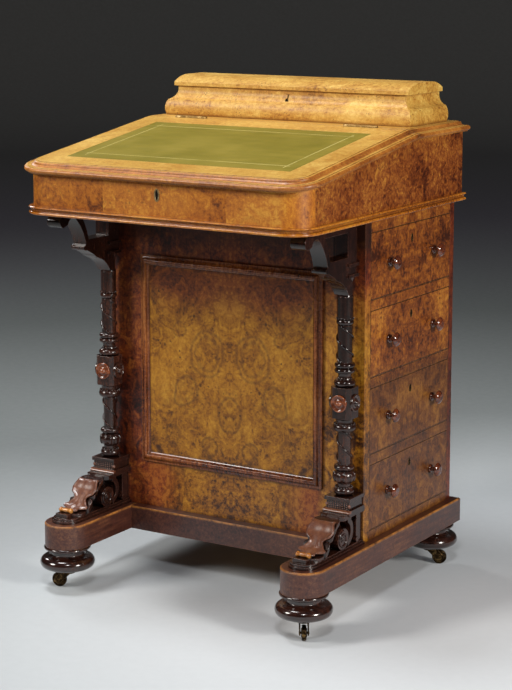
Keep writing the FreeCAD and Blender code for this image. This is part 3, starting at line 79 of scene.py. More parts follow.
STUD, STUD_SPACING, STUD_LIFT = 3.6, (1.12, 0.85), 0.4  # spacing in shares of the stud
STUD_FOOT, STUD_TIP, STUD_DEPTH = 0.62, 0.3, 2.6  # foot's radius as a share, tip's in mm
CORNER_BEAD, CORNER_PLACE = (2.6, 2.6, 3.2), (20, 0.5, 6)  # outward, sunk and up

# Keyhole linings: half width and height of the outline, rim and how far it stands out, in mm.
CASE_LINING, DRAWER_LINING = (4.8, 10.2, 2.0, 0.8), (3.6, 6.8, 1.0, 0.5)
BOX_LINING = (2.8, 4.6, 0.8, 0.5)
BESIDE_KEYHOLE = 4  # where the box's wall is measured, clear of the hole
BOX_LINING_AHEAD = 0.6  # from there to the back of the rim
CASE_KEYHOLE_Z, BOX_KEYHOLE_Z = 679.6, 798
KEYHOLE_DROP = 24  # middle of a drawer's keyhole below the top of its front
HOLE_DEPTH, HOLE_LEDGE = 0.8, 0.1  # share of the rim's height, and width of its inner wall

# Gold line tooled into the leather, in metres.
TOOLED_X, TOOLED_FRONT, TOOLED_BACK, TOOLED_LINE = 0.1845, -0.184, 0.013, 0.0008
TOOLED_RUNOVER = 0.012

# Burr knots of the panel: sideways, up and radius, in metres; each has its twin across x = 0.
KNOTS = ((0.046, 0.392, 0.040), (0.0, 0.292, 0.034), (0.027, 0.497, 0.017), (0.088, 0.322, 0.032),
         (0.098, 0.430, 0.014), (0.112, 0.245, 0.022), (0.128, 0.520, 0.024), (0.040, 0.232, 0.018))
KNOT_FLATTEN, KNOT_RINGS = 0.85, 620  # share of the height counted, and radians of ring a metre

# Joints and areas of the veneers and of the painted shade, in metres: a pair runs from no colour to
# full colour.
CASE_JOINTS = (-0.102, -0.0785, 0.126)
DRAWER_MIDDLE = 0.10275
GOLD_UNDER, GOLD_HALF_WIDTH = (0.205, 0.19), (0.165, 0.12)
GOLD_BESIDE, GOLD_BESIDE_TOP = (0.165, 0.18), (0.56, 0.46)
PANEL_SHADE, BOARD_SHADE, LOW_DRAWER_SHADE = (0.49, 0.545), (0.57, 0.62), (0.40, 0.36)
LIP_FORWARD, LIP_RISE, LIP_HALF = (0.042, 0.044), 0.063, 0.0024
ARRIS, ARRIS_TOP = (0.1095, 0.1125), 0.1138
GAP_SIDE, GAP_UNDER = 0.0009, 0.0014  # half widths of the painted shade lines round a drawer front
EDGE_TILT = (0.975, 0.95)  # upward share of the surface, not a length

# Tones of the woods from the darkest to the lightest, in screen values of 0 to 255.
TONES = {
    "gold": ((128, 78, 28), (192, 138, 56), (216, 172, 82), (236, 200, 112)),
    "edge": ((66, 28, 10), (140, 78, 28), (184, 116, 44), (214, 150, 66)),
    "case": ((96, 46, 12), (164, 92, 24), (192, 118, 32), (214, 152, 52)),
    "side": ((60, 22, 8), (114, 54, 19), (148, 82, 30), (182, 120, 44)),
    "drawer": ((58, 24, 10), (116, 58, 20), (150, 85, 27), (182, 118, 40)),
    # lower drawers: partly a duller veneer, partly painted shade
    "shaded_low_drawer": ((40, 18, 8), (78, 42, 16), (102, 61, 24), (130, 86, 36)),
    "panel": ((60, 30, 12), (134, 82, 15), (168, 112, 24), (190, 136, 42)),
    "board": ((36, 9, 5), (88, 32, 13), (124, 54, 18), (160, 90, 32)),
    "frame": ((36, 12, 8), (98, 46, 22), (136, 74, 34), (172, 108, 54)),
    "rail": ((30, 12, 9), (60, 28, 21), (82, 44, 31), (110, 68, 43)),
    "carved": ((10, 5, 4), (30, 14, 11), (48, 24, 17), (76, 42, 30)),
    "leaf": ((60, 28, 19), (92, 50, 34), (116, 70, 48), (140, 92, 66)),
    "knob": ((38, 16, 10), (80, 36, 20), (116, 56, 28), (150, 82, 44)),
    # near-black painted shade, for the gaps round the drawers and under the case
    "painted_shade": ((26, 11, 7),) * 4,
    "knotted": ((72, 42, 20),) * 4,
    "amber": ((196, 130, 60),) * 4,
    "oak": ((112, 78, 44), (146, 108, 66), (172, 134, 88)),
    "satinwood": ((150, 104, 52), (188, 142, 78), (210, 168, 104)),
    "olive": ((120, 110, 26), (133, 120, 34), (146, 130, 44)),
    "old_brass": ((92, 76, 50), (164, 140, 96), (222, 204, 166)),
    "hinge_brass": ((104, 78, 44), (150, 120, 72), (196, 168, 116)),
    "dark_brass": ((24, 18, 13), (58, 44, 28), (150, 120, 76)),
}
# Colours of gilding and of rubbed edges; the leaf's pale rims are partly a painted highlight.
GILT, WORN_CARVING, LEAF_RIM_WEAR_AND_HIGHLIGHT = (214, 200, 128), (128, 80, 62), (196, 156, 134)
WORN_BUN, WORN_ROUNDEL = (150, 90, 60), (214, 150, 104)
RING_STOPS = (0.35, 0.5, 0.65)  # where three tones sit over a wood's growth rings

# Studio sweep in metres, and its painted light and shade: colour by share of the reach from the
# palest spot.
SWEEP_RINGS, SWEEP_FLOOR, SWEEP_CURVE, SWEEP_TOP = (0.0, 1.0, 2.0, 3.5, 5.0), 7.0, 2.0, 6.0
PAINTED_LIGHT_SPOT, PAINTED_LIGHT_REACH = (0.45, 0.0, 0.0), 8.0
SWEEP_PAINTED_LIGHT = [(0.0, (0.78, 0.81, 0.85)), (0.09, (0.55, 0.59, 0.62)),
                 (0.18, (0.245, 0.27, 0.275)), (0.34, (0.12, 0.135, 0.135)),
                 (0.60, (0.095, 0.09, 0.11)), (1.0, (0.15, 0.15, 0.145))]
SPECK_COLOURS = [(0.3, (0.4, 0.4, 0.4)), (0.7, (0.8, 0.8, 0.8))]

# Lamps: place, aim, width, watts and colour.
WARM, WHITE = (1.0, 0.96, 0.9), (1, 1, 1)
LAMPS = {
    "key": ((-2.2, -2.7, 2.3), (0, 0, 0.4), 1.2, 84, WARM),
    "fill": ((3.3, -0.7, 1.45), (0, 0, 0.55), 0.8, 84, WARM),
    "top": ((-0.9, -0.4, 3.3), (0, 0, 0.6), 1.0, 50, WHITE),
    "camera_side": ((1.6, -2.6, 3.0), (0.3, 0, 0.4), 0.5, 36, WHITE),
    "rim": ((-2.6, 1.2, 2.0), (0, 0, 0.5), 0.7, 14, WHITE),
}
WORLD_COLOUR = (0.04, 0.04, 0.045)

CAMERA_PLACE, CAMERA_TILT, CAMERA_TURN = (1.6831, -2.68305, 1.0484), 80.885, 31.864
CAMERA_LENS, CAMERA_SENSOR, CAMERA_SHIFT, PICTURE = 101.38, 36, -0.12, (512, 690)


# ---------------------------------------------------------------- material graphs

class Surface:
    """A node material while its graph is being drawn."""

    def __init__(self, name):
        self.material = bpy.data.materials.new(name)
        self.material.use_nodes = True
        self.tree = self.material.node_tree
        self.shader = self.tree.nodes["Principled BSDF"]

    def put(self, socket, value):
        """Link or set an input socket."""
        if isinstance(value, bpy.types.NodeSocket):
            self.tree.links.new(value, socket)
        else:
            socket.default_value = value

    def add(self, kind, inputs, **settings):
        """Add a shader node with its inputs and settings."""
        node = self.tree.nodes.new("ShaderNode" + kind)
        for key, value in settings.items():
            setattr(node, key, value)
        for key, value in inputs.items():
            self.put(node.inputs[key], value)
        return node

    # Numbers

    def calc(self, operation, first, second=0.0):
        """Result of one operation on one or two values."""
        return self.add("Math", {0: first, 1: second}, operation=operation).outputs[0]

    def chain(self, operation, values):
        """Result of the same operation along several values."""
        result = values[0]
        for value in values[1:]:
            result = self.calc(operation, result, value)
        return result

    def product(self, *values):
        """The values multiplied together."""
        return self.chain("MULTIPLY", values)

    def distance(self, value, middle):
        """How far a value lies from a middle."""
        return self.calc("ABSOLUTE", self.calc("SUBTRACT", value, middle))

    def band(self, value, middle, half):
        """1 within half of the middle, 0 outside."""
        return self.calc("LESS_THAN", self.distance(value, middle), half)

    def remap(self, value, low, high, to_low=0.0, to_high=1.0):
        """Value moved from one range to another, and kept inside it."""
        return self.add("MapRange", {"Value": value, "From Min": low, "From Max": high,
                                     "To Min": to_low, "To Max": to_high}).outputs[0]

    # Places

    def place(self):
        """Object coordinates in metres."""
        return self.add("TexCoord", {}).outputs["Object"]

    def axis(self, letter):
        """One of the object coordinates."""
        return self.add("SeparateXYZ", {0: self.place()}).outputs[letter]

    def coords(self, scale=(1, 1, 1), fold=None, leaves=()):
        """Object coordinates in metres, stretched by a scale along each axis.

        fold is an axis and the place on it where two matched leaves meet. leaves are the joints
        along x where the veneer changes to another leaf.
        """
        place = self.place()
        if fold:
            letter, middle = fold
            split = self.add("SeparateXYZ", {0: place}).outputs
            parts = {axis: split[axis] for axis in "XYZ"}
            parts[letter] = self.distance(parts[letter], middle)
            place = self.add("CombineXYZ", parts).outputs[0]
        if leaves:
            passed = [self.calc("GREATER_THAN", self.axis("X"), joint) for joint in leaves]
            leaf = self.chain("ADD", passed)
            step = self.add("CombineXYZ", {"X": leaf, "Y": leaf, "Z": leaf}).outputs[0]
            place = self.add("VectorMath", {0: place, 1: step}, operation="ADD").outputs[0]
        return self.add("Mapping", {"Vector": place, "Scale": scale}).outputs[0]

    def warp(self, place, scale, reach):
        """Coordinates pushed about by a noise."""
        cloud = self.noise(place, scale, 2, output="Color")
        centred = self.add("VectorMath", {0: cloud, 1: (0.5, 0.5, 0.5)}, operation="SUBTRACT")
        push = self.add("VectorMath", {0: centred.outputs[0], "Scale": reach}, operation="SCALE")
        return self.add("VectorMath", {0: place, 1: push.outputs[0]}, operation="ADD").outputs[0]

    # Patterns

    def noise(self, place, scale, detail=3, rough=0.5, distortion=0, output="Fac"):
        """Soft cloudy pattern of values, or of colours."""
        node = self.add("TexNoise", {"Vector": place, "Scale": scale, "Detail": detail,
                                     "Roughness": rough, "Distortion": distortion})
        return node.outputs[output]

    def cells(self, place, scale):
        """Distance from the middles of scattered cells."""
        return self.add("TexVoronoi", {"Vector": place, "Scale": scale}).outputs["Distance"]

    def ragged(self, scale, detail, reach, fold=None):
        """Small wandering distance that frays the edge of an area."""
        return self.product(self.noise(self.coords(fold=fold), scale, detail), reach)

    # Form of the surface

    def tilt(self):
        """Upward share of the surface's direction on the piece at rest: 1 on a level top."""
        facing = self.add("TexCoord", {}).outputs["Normal"]
        return self.add("SeparateXYZ", {0: facing}).outputs["Z"]

    def edges(self, radius):
        """How sharply the surface turns, 0 on a flat to 1 on an arris, and its soft direction."""
        soft = self.add("Bevel", {"Radius": radius}, samples=6).outputs[0]
        facing = self.add("NewGeometry", {}).outputs["Normal"]
        dot = self.add("VectorMath", {0: soft, 1: facing}, operation="DOT_PRODUCT")
        return self.remap(dot.outputs["Value"], 0.995, 0.8), soft

    def hollow(self, reach):
        """How deep a spot lies between its neighbours: 0 in the open, 1 in a deep groove."""
        open_share = self.add("AmbientOcclusion", {"Distance": reach}, samples=6).outputs["AO"]
        return self.remap(open_share, 0.85, 0.35)

    # Colours and finish

    def ramp(self, value, stops):
        """Colour picked by a value between stops of a place and a colour."""
        node = self.add("ValToRGB", {0: value})
        band = node.color_ramp.elements
        while len(band) < len(stops):
            band.new(0.5)
        for element, (position, shade) in zip(band, stops):
            element.position = position
            element.color = (*shade, 1)
        return node.outputs[0]

    def blend(self, amount, first, second):
        """Mix from the first to the second."""
        node = self.add("Mix", {0: amount}, data_type="RGBA")
        self.put(node.inputs[6], first)
        self.put(node.inputs[7], second)
        return node.outputs[2]

    def bump(self, height, strength, distance, normal):
        """Fine relief on the shader, over a soft direction of the surface."""
        node = self.add("Bump", {"Height": height, "Strength": strength,
                                 "Distance": distance, "Normal": normal})
        self.put(self.shader.inputs["Normal"], node.outputs[0])

    def finish(self, base, rough, **constants):
        """Feed the shader, and return the material."""
        self.put(self.shader.inputs["Base Color"], base)
        self.put(self.shader.inputs["Roughness"], rough)
        for name, value in constants.items():
            self.put(self.shader.inputs[name.replace("_", " ")], value)
        return self.material


def tone(values):
    """Linear colour from screen values of 0 to 255."""
    return tuple(((v / 255 + 0.055) / 1.055) ** 2.4 if v > 10 else v / 3294.6 for v in values)


def paint(values):
    """Colour for a socket, from screen values."""
    return (*tone(values), 1)


def shades(name):
    """Linear colours of a wood or metal."""
    return [tone(values) for values in TONES[name]]


# ---------------------------------------------------------------- areas of a veneer

def knot_rings(s):
    """Dark growth rings round the burr knots of the panel."""
    spread = s.add("SeparateXYZ", {0: s.warp(s.coords(fold=("X", 0.0)), 24, 0.024)}).outputs
    knots = [0.0]
    for across, up, radius in KNOTS:
        away_x = s.calc("SUBTRACT", spread["X"], across)
        away_z = s.product(s.calc("SUBTRACT", spread["Z"], up), KNOT_FLATTEN)
        away = s.calc("SQRT", s.calc("ADD", s.product(away_x, away_x), s.product(away_z, away_z)))
        rings = s.remap(s.calc("SINE", s.product(away, KNOT_RINGS)), -0.9, 1.0)
        near = s.remap(away, radius, radius * 0.75)
        rim = s.product(near, s.remap(away, radius * 0.35, radius * 0.8, 0.25, 1.0))
        knots.append(s.product(rings, rim))
    return s.product(s.chain("MAXIMUM", knots), 0.6)


def golden_board(s):
    """Paler matched leaves under the panel, and the paler strip to its right."""
    x, z = s.axis("X"), s.axis("Z")
    ragged = s.ragged(16, 4, 0.05)
    inward = s.calc("ADD", s.calc("ABSOLUTE", x), ragged)
    under = s.product(s.remap(z, *GOLD_UNDER), s.remap(inward, *GOLD_HALF_WIDTH))
    level = s.calc("ADD", z, ragged)
    beside = s.product(s.remap(x, *GOLD_BESIDE), s.remap(level, *GOLD_BESIDE_TOP))
    return s.product(s.calc("MAXIMUM", under, beside), 0.85)


def shaded_panel(s):
    """Painted shade under the case: redder and darker towards the panel's top."""
    level = s.calc("ADD", s.axis("Z"), s.ragged(12, 3, 0.08, fold=("X", 0.0)))
    return s.remap(level, *PANEL_SHADE, 0.0, 0.85)


def shaded_board(s):
    """Painted shade under the case: darker towards it."""
    level = s.calc("ADD", s.axis("Z"), s.ragged(14, 3, 0.05, fold=("X", 0.0)))
    return s.remap(level, *BOARD_SHADE, 0.0, 0.85)


def solid_edge(s):
    """The moulded edge round the veneered top, which is of solid brown wood."""
    return s.remap(s.tilt(), *EDGE_TILT)


def console_lip(s):
    """Paler front of the moulded lip over a console's leaf."""
    low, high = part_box("console_left")
    forward = s.calc("SUBTRACT", high.y, s.axis("Y"))
    rise = s.calc("SUBTRACT", s.axis("Z"), low.z)
    return s.product(s.remap(forward, *LIP_FORWARD), s.band(rise, LIP_RISE, LIP_HALF))


def rubbed_arris(s):
    """Polish worn to the pale wood along the rails' upper edges."""
    z = s.axis("Z")
    patchy = s.remap(s.noise(s.coords(), 60, 4, 0.7), 0.35, 0.6, 0.1, 0.8)
    return s.product(s.remap(z, *ARRIS), s.calc("LESS_THAN", z, ARRIS_TOP), patchy)


def shaded_lower_drawers(s):
    """Painted shade, partly a browner and duller veneer: the lower two drawers darker."""
    return s.remap(s.axis("Z"), *LOW_DRAWER_SHADE, 0.0, 0.8)


def drawer_gap_shade(s):
    """Painted shade in the gap round each drawer front, wider under it."""
    y, z = s.axis("Y"), s.axis("Z")
    lines = [0.0]
    for number in DRAWERS:
        low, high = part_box(f"drawer_{number}_front")
        lines += [s.band(z, low.z, GAP_UNDER), s.band(z, high.z, GAP_SIDE)]
        lines.append(s.band(s.distance(y, (low.y + high.y) / 2), (high.y - low.y) / 2, GAP_SIDE))
    return s.product(s.chain("MAXIMUM", lines), 0.85)


# ---------------------------------------------------------------- woods

def walnut(name, tones, grain=UPRIGHT, burr=0.5, eyes=0.6, swirl=0.0, scale=1.0, polish=0.3,
           coat=0.3, gloss=0.2, contrast=1.0, worn=None, grime_and_shade=0.0, fold=None, leaves=(),
           areas=()):
    """French-polished walnut: clouds, curled figure, straight fibres, burr rings and eyes.

    tones names a row of TONES, and grain is small along the fibres. burr, eyes, swirl and grime
    are shares, polish and gloss are roughnesses; grime darkens hollows and joints, partly as dirt
    and partly as painted shade. worn is the colour of rubbed edges, on the leaf partly a painted
    highlight. areas are pairs of other tones and a function that draws where they show.
    """
    s = Surface(name)
    place = s.coords(fold=fold, leaves=leaves)
    cloud = s.noise(s.warp(place, 8 * scale, 0.06), 7 * scale, 3, 0.55)
    curl = s.noise(s.warp(place, 26 * scale, 0.03), 34 * scale, 6, 0.7, 1.8)
    fibre = s.noise(s.coords(grain, fold=fold, leaves=leaves), 240, 5, 0.65, 0.5)
    mottle = s.noise(place, 190, 4, 0.75, 0.6)
    figure = s.blend(0.27, s.blend(0.4, s.blend(burr, fibre, curl), cloud), mottle)
    figure = s.remap(figure, 0.5 - 0.1 / contrast, 0.5 + 0.1 / contrast)
    base = figured(s, figure, tones)
    for other, mask in areas:
        base = s.blend(mask(s), base, figured(s, figure, other))
    dark = paint(TONES[tones][0])
    if swirl:
        base = s.blend(s.product(burr_rings(s, place, curl), swirl), base, dark)
    pip = s.remap(s.cells(s.warp(place, 60, 0.01), 120 * scale), 0.34, 0.14)
    clump = s.remap(s.noise(place, 17 * scale, 3, 0.7), 0.5, 0.6)
    base = s.blend(s.product(pip, clump, eyes), base, dark)
    # Rubbed edges turn paler; on the leaf that pale rim is partly a painted highlight.
    edge, soft = s.edges(0.0012)
    rubbed = s.product(edge, s.remap(mottle, 0.38, 0.55), 0.6)
    base = s.blend(rubbed, base, paint(worn or TONES[tones][-1]))
    # Hollows and joints darkened, partly as dirt in the polish and partly as painted shade.
    if grime_and_shade:
        base = s.blend(s.product(s.hollow(0.007), grime_and_shade), base, dark)
    s.bump(s.calc("ADD", fibre, s.product(pip, -0.4)), 0.25, 0.0002, soft)
    rough = s.remap(cloud, 0.35, 0.65, polish - 0.05, polish + 0.08)
    return s.finish(base, rough, Coat_Weight=coat, Coat_Roughness=gloss)


def figured(s, figure, tones):
    """Colour of a wood's tones over its figure."""
    colours = shades(tones)
    return s.ramp(figure, [(i / (len(colours) - 1), shade) for i, shade in enumerate(colours)])


def burr_rings(s, place, curl):
    """Growth rings round scattered knots."""
    away = s.calc("ADD", s.cells(s.warp(place, 18, 0.022), 10.5), s.product(curl, 0.12))
    rings = s.remap(s.calc("SINE", s.product(away, 62)), 0.1, 1.0)
    return s.product(rings, s.remap(away, 0.62, 0.25))


def veneers():
    """Figured veneers by their use."""
    middle = ("X", 0.0)
    return {
        "top": walnut("top_burr", "gold", (1, 1, 0.3), 0.75, 0.35, scale=1.1, polish=0.4,
                      coat=0.15, contrast=0.65, grime_and_shade=0.8, areas=[("edge", solid_edge)]),
        "box": walnut("box_burr", "gold", (0.4, 1, 1), 0.6, 1.0, scale=1.9, polish=0.52,
                      coat=0.05, contrast=0.9, grime_and_shade=0.8),
        "case": walnut("case_veneer", "case", burr=0.8, swirl=0.35, polish=0.44, coat=0.12,
                       leaves=CASE_JOINTS),
        "side": walnut("side_veneer", "side", burr=0.85, eyes=0.9, scale=1.5, polish=0.36,
                       contrast=1.25),
        # Drawer veneer, with painted shade in the gaps round each front and on the lower two
        # drawers.
        "drawer": walnut("drawer_veneer", "drawer", burr=0.72, eyes=0.8, scale=1.1,
                         polish=0.4, coat=0.12, contrast=1.35, fold=("Y", DRAWER_MIDDLE),
                         grime_and_shade=0.5, areas=[("shaded_low_drawer", shaded_lower_drawers),
                                           ("painted_shade", drawer_gap_shade)]),
        # Panel burr, with painted shade towards its top under the case.
        "panel": walnut("panel_burr", "panel", burr=0.85, eyes=0.9, swirl=0.2, polish=0.42,
                        coat=0.12, contrast=1.1, fold=middle,
                        areas=[("knotted", knot_rings), ("board", shaded_panel)]),
        # Pedestal veneer, with painted shade towards the case.
        "board": walnut("pedestal_veneer", "board", burr=0.75, eyes=0.5, swirl=0.4, scale=0.8,
                        polish=0.4, coat=0.12, contrast=1.5, fold=middle, grime_and_shade=0.5,
                        areas=[("panel", golden_board), ("painted_shade", shaded_board)]),
        "back": walnut("back_veneer", "board", burr=0.6, eyes=0.5, scale=0.9, polish=0.42,
                       coat=0.12, fold=middle),
    }


def solid_walnuts():
    """Solid walnut of the mouldings, rails, turnings and carvings, by its use."""
    amber = TONES["amber"][0]
    carving = {"polish": 0.18, "coat": 0.32, "gloss": 0.08, "worn": WORN_CARVING, "grime_and_shade": 0.9}
    foot = {"polish": 0.36, "contrast": 0.9, "worn": amber, "areas": [("amber", rubbed_arris)]}
    return {
        "moulding": walnut("case_moulding", "case", ALONG_X, 0.2, 0.3, polish=0.24, grime_and_shade=1.0,
                           worn=amber),
        "frame": walnut("panel_frame", "frame", UPRIGHT, 0.2, 0.2, polish=0.24, grime_and_shade=1.0,
                        worn=amber),
        "rail": walnut("rail_walnut", "rail", ALONG_Y, 0.25, 0.4, **foot),
        "plinth": walnut("plinth_walnut", "rail", ALONG_Y, 0.25, 0.4, **foot),
        "carved": walnut("carved_walnut", "carved", UPRIGHT, 0.3, 0.2, **carving),
        "console": walnut("console_walnut", "carved", UPRIGHT, 0.3, 0.2,
                          areas=[("leaf", console_lip)], **carving),
        # Leaf with pale rubbed rims that are partly a painted highlight.
        "leaf": walnut("leaf_walnut", "leaf", ALONG_Y, 0.2, 0.1, polish=0.3, coat=1.0,
                       gloss=0.24, contrast=0.7, worn=LEAF_RIM_WEAR_AND_HIGHLIGHT, grime_and_shade=0.6),
        "bun": walnut("turned_walnut", "carved", ALONG_X, 0.2, 0.1, polish=0.16, coat=0.8,
                      gloss=0.08, worn=WORN_BUN, grime_and_shade=0.5),
        "toe": walnut("toe_walnut", "edge", ALONG_X, 0.2, 0.1, polish=0.2, coat=0.8,
                      gloss=0.12, grime_and_shade=0.6),
        "knob": walnut("knob_walnut", "knob", ALONG_X, 0.2, 0.1, polish=0.16, coat=0.8,
                       gloss=0.08, grime_and_shade=0.8),
        "roundel": roundel_wood(),
    }


def roundel_wood():
    """Turned roundels of one wood: painted paler as lit on a column block's front, darker as shade
    on its sides.
    """
    s = Surface("roundel_walnut")
    ring = s.noise(s.coords(ALONG_X), 160, 4, 0.6, 0.8)
    side_painted_shade, front_painted_light = [s.ramp(ring, list(zip(RING_STOPS, shades(tones)[1:])))
                               for tones in ("carved", "knob")]
    front_y = column_axis("left").y - ROUNDEL_FORWARD * MM
    # Side roundels take the painted shade, front ones the painted light.
    base = s.blend(s.calc("LESS_THAN", s.axis("Y"), front_y), side_painted_shade, front_painted_light)
    edge, soft = s.edges(0.001)
    base = s.blend(s.product(edge, 0.5), base, paint(WORN_ROUNDEL))
    # Hollows darkened, partly as dirt in the polish and partly as painted shade.
    base = s.blend(s.product(s.hollow(0.004), 0.8), base, paint(TONES["carved"][0]))
    s.bump(ring, 0.2, 0.0002, soft)
    return s.finish(base, s.remap(ring, 0.3, 0.7, 0.16, 0.26), Coat_Weight=0.7,
                    Coat_Roughness=0.15)


def plain_wood(name):
    """Unpolished inside wood with a straight grain."""
    s = Surface(name)
    place = s.coords((0.1, 1, 1))
    ring = s.noise(place, 38, 4, 0.55, 1.2)
    fibre = s.noise(place, 340, 3, 0.6)
    mixed = s.calc("ADD", s.product(ring, 0.6), s.product(fibre, 0.4))
    base = s.ramp(mixed, list(zip(RING_STOPS, shades(name))))
    edge, soft = s.edges(0.0008)
    base = s.blend(s.product(edge, 0.4), base, paint(TONES[name][-1]))
    s.bump(fibre, 0.3, 0.0002, soft)
    return s.finish(base, s.remap(ring, 0.3, 0.7, 0.5, 0.62))


# ---------------------------------------------------------------- leather and metal

def tooled_line(s):
    """The rubbed gold line inside the leather's edge."""
    x, y = s.axis("X"), s.axis("Y")
    across = s.product(s.band(s.calc("ABSOLUTE", x), TOOLED_X, TOOLED_LINE),
                       s.band(y, (TOOLED_FRONT + TOOLED_BACK) / 2,
                              (TOOLED_BACK - TOOLED_FRONT) / 2 + TOOLED_RUNOVER))
    ends = s.calc("ADD", s.band(y, TOOLED_FRONT, TOOLED_LINE), s.band(y, TOOLED_BACK, TOOLED_LINE))
    along = s.product(ends, s.band(x, 0.0, TOOLED_X + TOOLED_RUNOVER / 2))
    rubbed = s.remap(s.noise(s.coords(), 30, 3), 0.3, 0.5, 0.35, 0.85)
    return s.product(s.calc("MAXIMUM", across, along), rubbed)


def leather():
    """Olive hide with a fine pebble, faded patches and a gold line."""
    s = Surface("olive_leather")
    place = s.coords()
    patch = s.noise(s.warp(place, 6, 0.08), 9, 5, 0.65)
    streak = s.noise(s.coords((0.25, 1, 1)), 60, 3, 0.6)
    base = s.ramp(s.blend(0.3, patch, streak), list(zip((0.36, 0.5, 0.64), shades("olive"))))
    line = tooled_line(s)
    base = s.blend(line, base, paint(GILT))
    height = s.calc("SUBTRACT", s.cells(place, 700), line)
    s.bump(height, 0.3, 0.0002, s.add("Bevel", {"Radius": 0.0006}, samples=4).outputs[0])
    return s.finish(base, s.remap(patch, 0.3, 0.7, 0.48, 0.6), Specular_IOR_Level=0.35)


def brass(name, tones, rough):
    """Aged brass, darker where the polish doesn't reach."""
    s = Surface(name)
    stain = s.noise(s.coords(), 120, 4, 0.6, 0.5)
    base = s.ramp(stain, list(zip((0.35, 0.55, 0.7), shades(tones))))
    edge, soft = s.edges(0.0008)
    base = s.blend(s.product(edge, 0.6), base, paint(TONES[tones][-1]))
    scratch = s.noise(s.coords((1, 1, 8)), 500, 2)
    s.bump(scratch, 0.15, 0.0001, soft)
    return s.finish(base, s.remap(stain, 0.3, 0.7, rough + 0.12, rough), Metallic=1.0)


def keyhole_painted_shade():
    """Painted shade: near-black standing in for the unlit inside of a lock."""
    s = Surface("lock_hole_painted_shade")
    dust = s.noise(s.coords(), 300, 3)
    base = s.ramp(dust, [(0.3, (0.004, 0.003, 0.003)), (0.7, (0.012, 0.009, 0.007))])
    return s.finish(base, 0.8, Specular_IOR_Level=0.1)


# ---------------------------------------------------------------- dressing the solids

def dress(material, *names):
    """Give solids a material."""
    for name in names:
        mesh = NODES[name].data
        mesh.materials.clear()
        mesh.materials.append(material)


def each_drawer(part):
    """Names of the same part of every drawer."""
    return [f"drawer_{number}_{part}" for number in DRAWERS]


def dress_wood(wood):
    """Every wooden solid."""
    dress(wood["top"], "top_board", "slope_lid")
    dress(wood["box"], "box_walls", "box_lid")
    dress(wood["case"], "case_front")
    dress(wood["side"], "case_side_left", "case_side_right", "case_back")
    dress(wood["moulding"], "case_moulding")
    dress(wood["frame"], "panel_moulding")
    dress(wood["panel"], "burr_panel")
    dress(wood["board"], "pedestal_front")
    dress(wood["back"], "pedestal_back")
    dress(wood["drawer"], "drawer_rails", "pedestal_side", "dummy_drawer_fronts",
          *each_drawer("front"))
    dress(wood["knob"], "dummy_drawer_knobs", *each_drawer("knobs"))
    dress(wood["rail"], "rail_left", "rail_right")
    dress(wood["plinth"], "plinth_bands")
    dress(wood["bun"], "bun_feet")
    dress(wood["roundel"], "column_roundels")
    dress(wood["carved"], "column_left", "column_right", "bracket_left", "bracket_right")
    dress(wood["console"], "console_left", "console_right")
    dress(plain_wood("oak"), "case_floor", "dust_boards", "box_partitions",
          *each_drawer("tray"))
    dress(plain_wood("satinwood"), "nest_carcass", "nest_drawer_left", "nest_drawer_right")


def dress_metal(lining, tarnished):
    """Every brass solid."""
    dress(lining, "locks")
    dress(brass("hinge_brass", "hinge_brass", 0.5), "slope_lid_hinge_leaves",
          "fixed_hinge_leaves", "box_lid_hinge_leaves")
    dress(tarnished, *[name for name in NODES if name.startswith("caster_")])


# ---------------------------------------------------------------- new pieces

def new_piece(name, bm, *materials):
    """Turn a mesh into a piece of the scene, with its faces outward."""
    bmesh.ops.recalc_face_normals(bm, faces=bm.faces)
    mesh = bpy.data.meshes.new(name)
    bm.to_mesh(mesh)
    bm.free()
    for material in materials:
        mesh.materials.append(material)
    piece = bpy.data.objects.new(name, mesh)
    bpy.context.scene.collection.objects.link(piece)
    return piece


def carve(name, bm, material):
    """Turn a mesh into a carved piece that is fixed to the carcass."""
    piece = new_piece(name, bm, material)
    piece.data.shade_smooth()
    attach(piece, BODIES["column_left"])
    return piece


def skin(node):
    """Search tree over a solid's faces."""
    bm = bmesh.new()
    bm.from_mesh(NODES[node].data)
    tree = BVHTree.FromBMesh(bm)
    bm.free()
    return tree


def add_ball(bm, place, size, segments, rings):
    """Add a ball stretched to three radii, in mm."""
    bmesh.ops.create_uvsphere(bm, u_segments=segments, v_segments=rings, radius=MM,
                              matrix=place @ Matrix.Diagonal((*size, 1)))


def add_cord(bm, points, radii):
    """Add a rounded, tapering cord along points to a mesh."""
    curve = bpy.data.curves.new("cord", "CURVE")
    curve.dimensions = "3D"
    curve.bevel_depth = 1.0
    curve.bevel_resolution = 2
    curve.use_fill_caps = True
    curve.resolution_u = 6
    spline = curve.splines.new("NURBS")
    spline.points.add(len(points) - 1)
    for knot, place, radius in zip(spline.points, points, radii):
        knot.co = (*place, 1)
        knot.radius = radius
    spline.use_endpoint_u, spline.order_u = True, 3
    thing = bpy.data.objects.new("cord", curve)
    bm.from_mesh(bpy.data.meshes.new_from_object(thing))
    bpy.data.objects.remove(thing)
    bpy.data.curves.remove(curve)


# ---------------------------------------------------------------- carving of a column

def column_axis(side):
    """Middle of a column, at the level of its console's top."""
    low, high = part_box(f"column_{side}")
    middle = (low + high) / 2
    return Vector((middle.x, middle.y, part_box(f"console_{side}")[1].z))


def turned_radius(tree, axis, level):
    """Radius of a turned piece at a level above its console, in metres."""
    start = axis + Vector((0, -0.1, level * MM))
    hit = tree.ray_cast(start, Vector((0, 1, 0)))[0]
    return axis.y - hit.y


def around(axis, level, radius, turn):
    """Place on a turned piece: level in mm, radius in metres, turn as a share of a circle."""
    return (Matrix.Translation(axis + Vector((0, 0, level * MM)))
            @ Matrix.Rotation(2 * math.pi * turn, 4, "Z") @ Matrix.Translation((radius, 0, 0)))


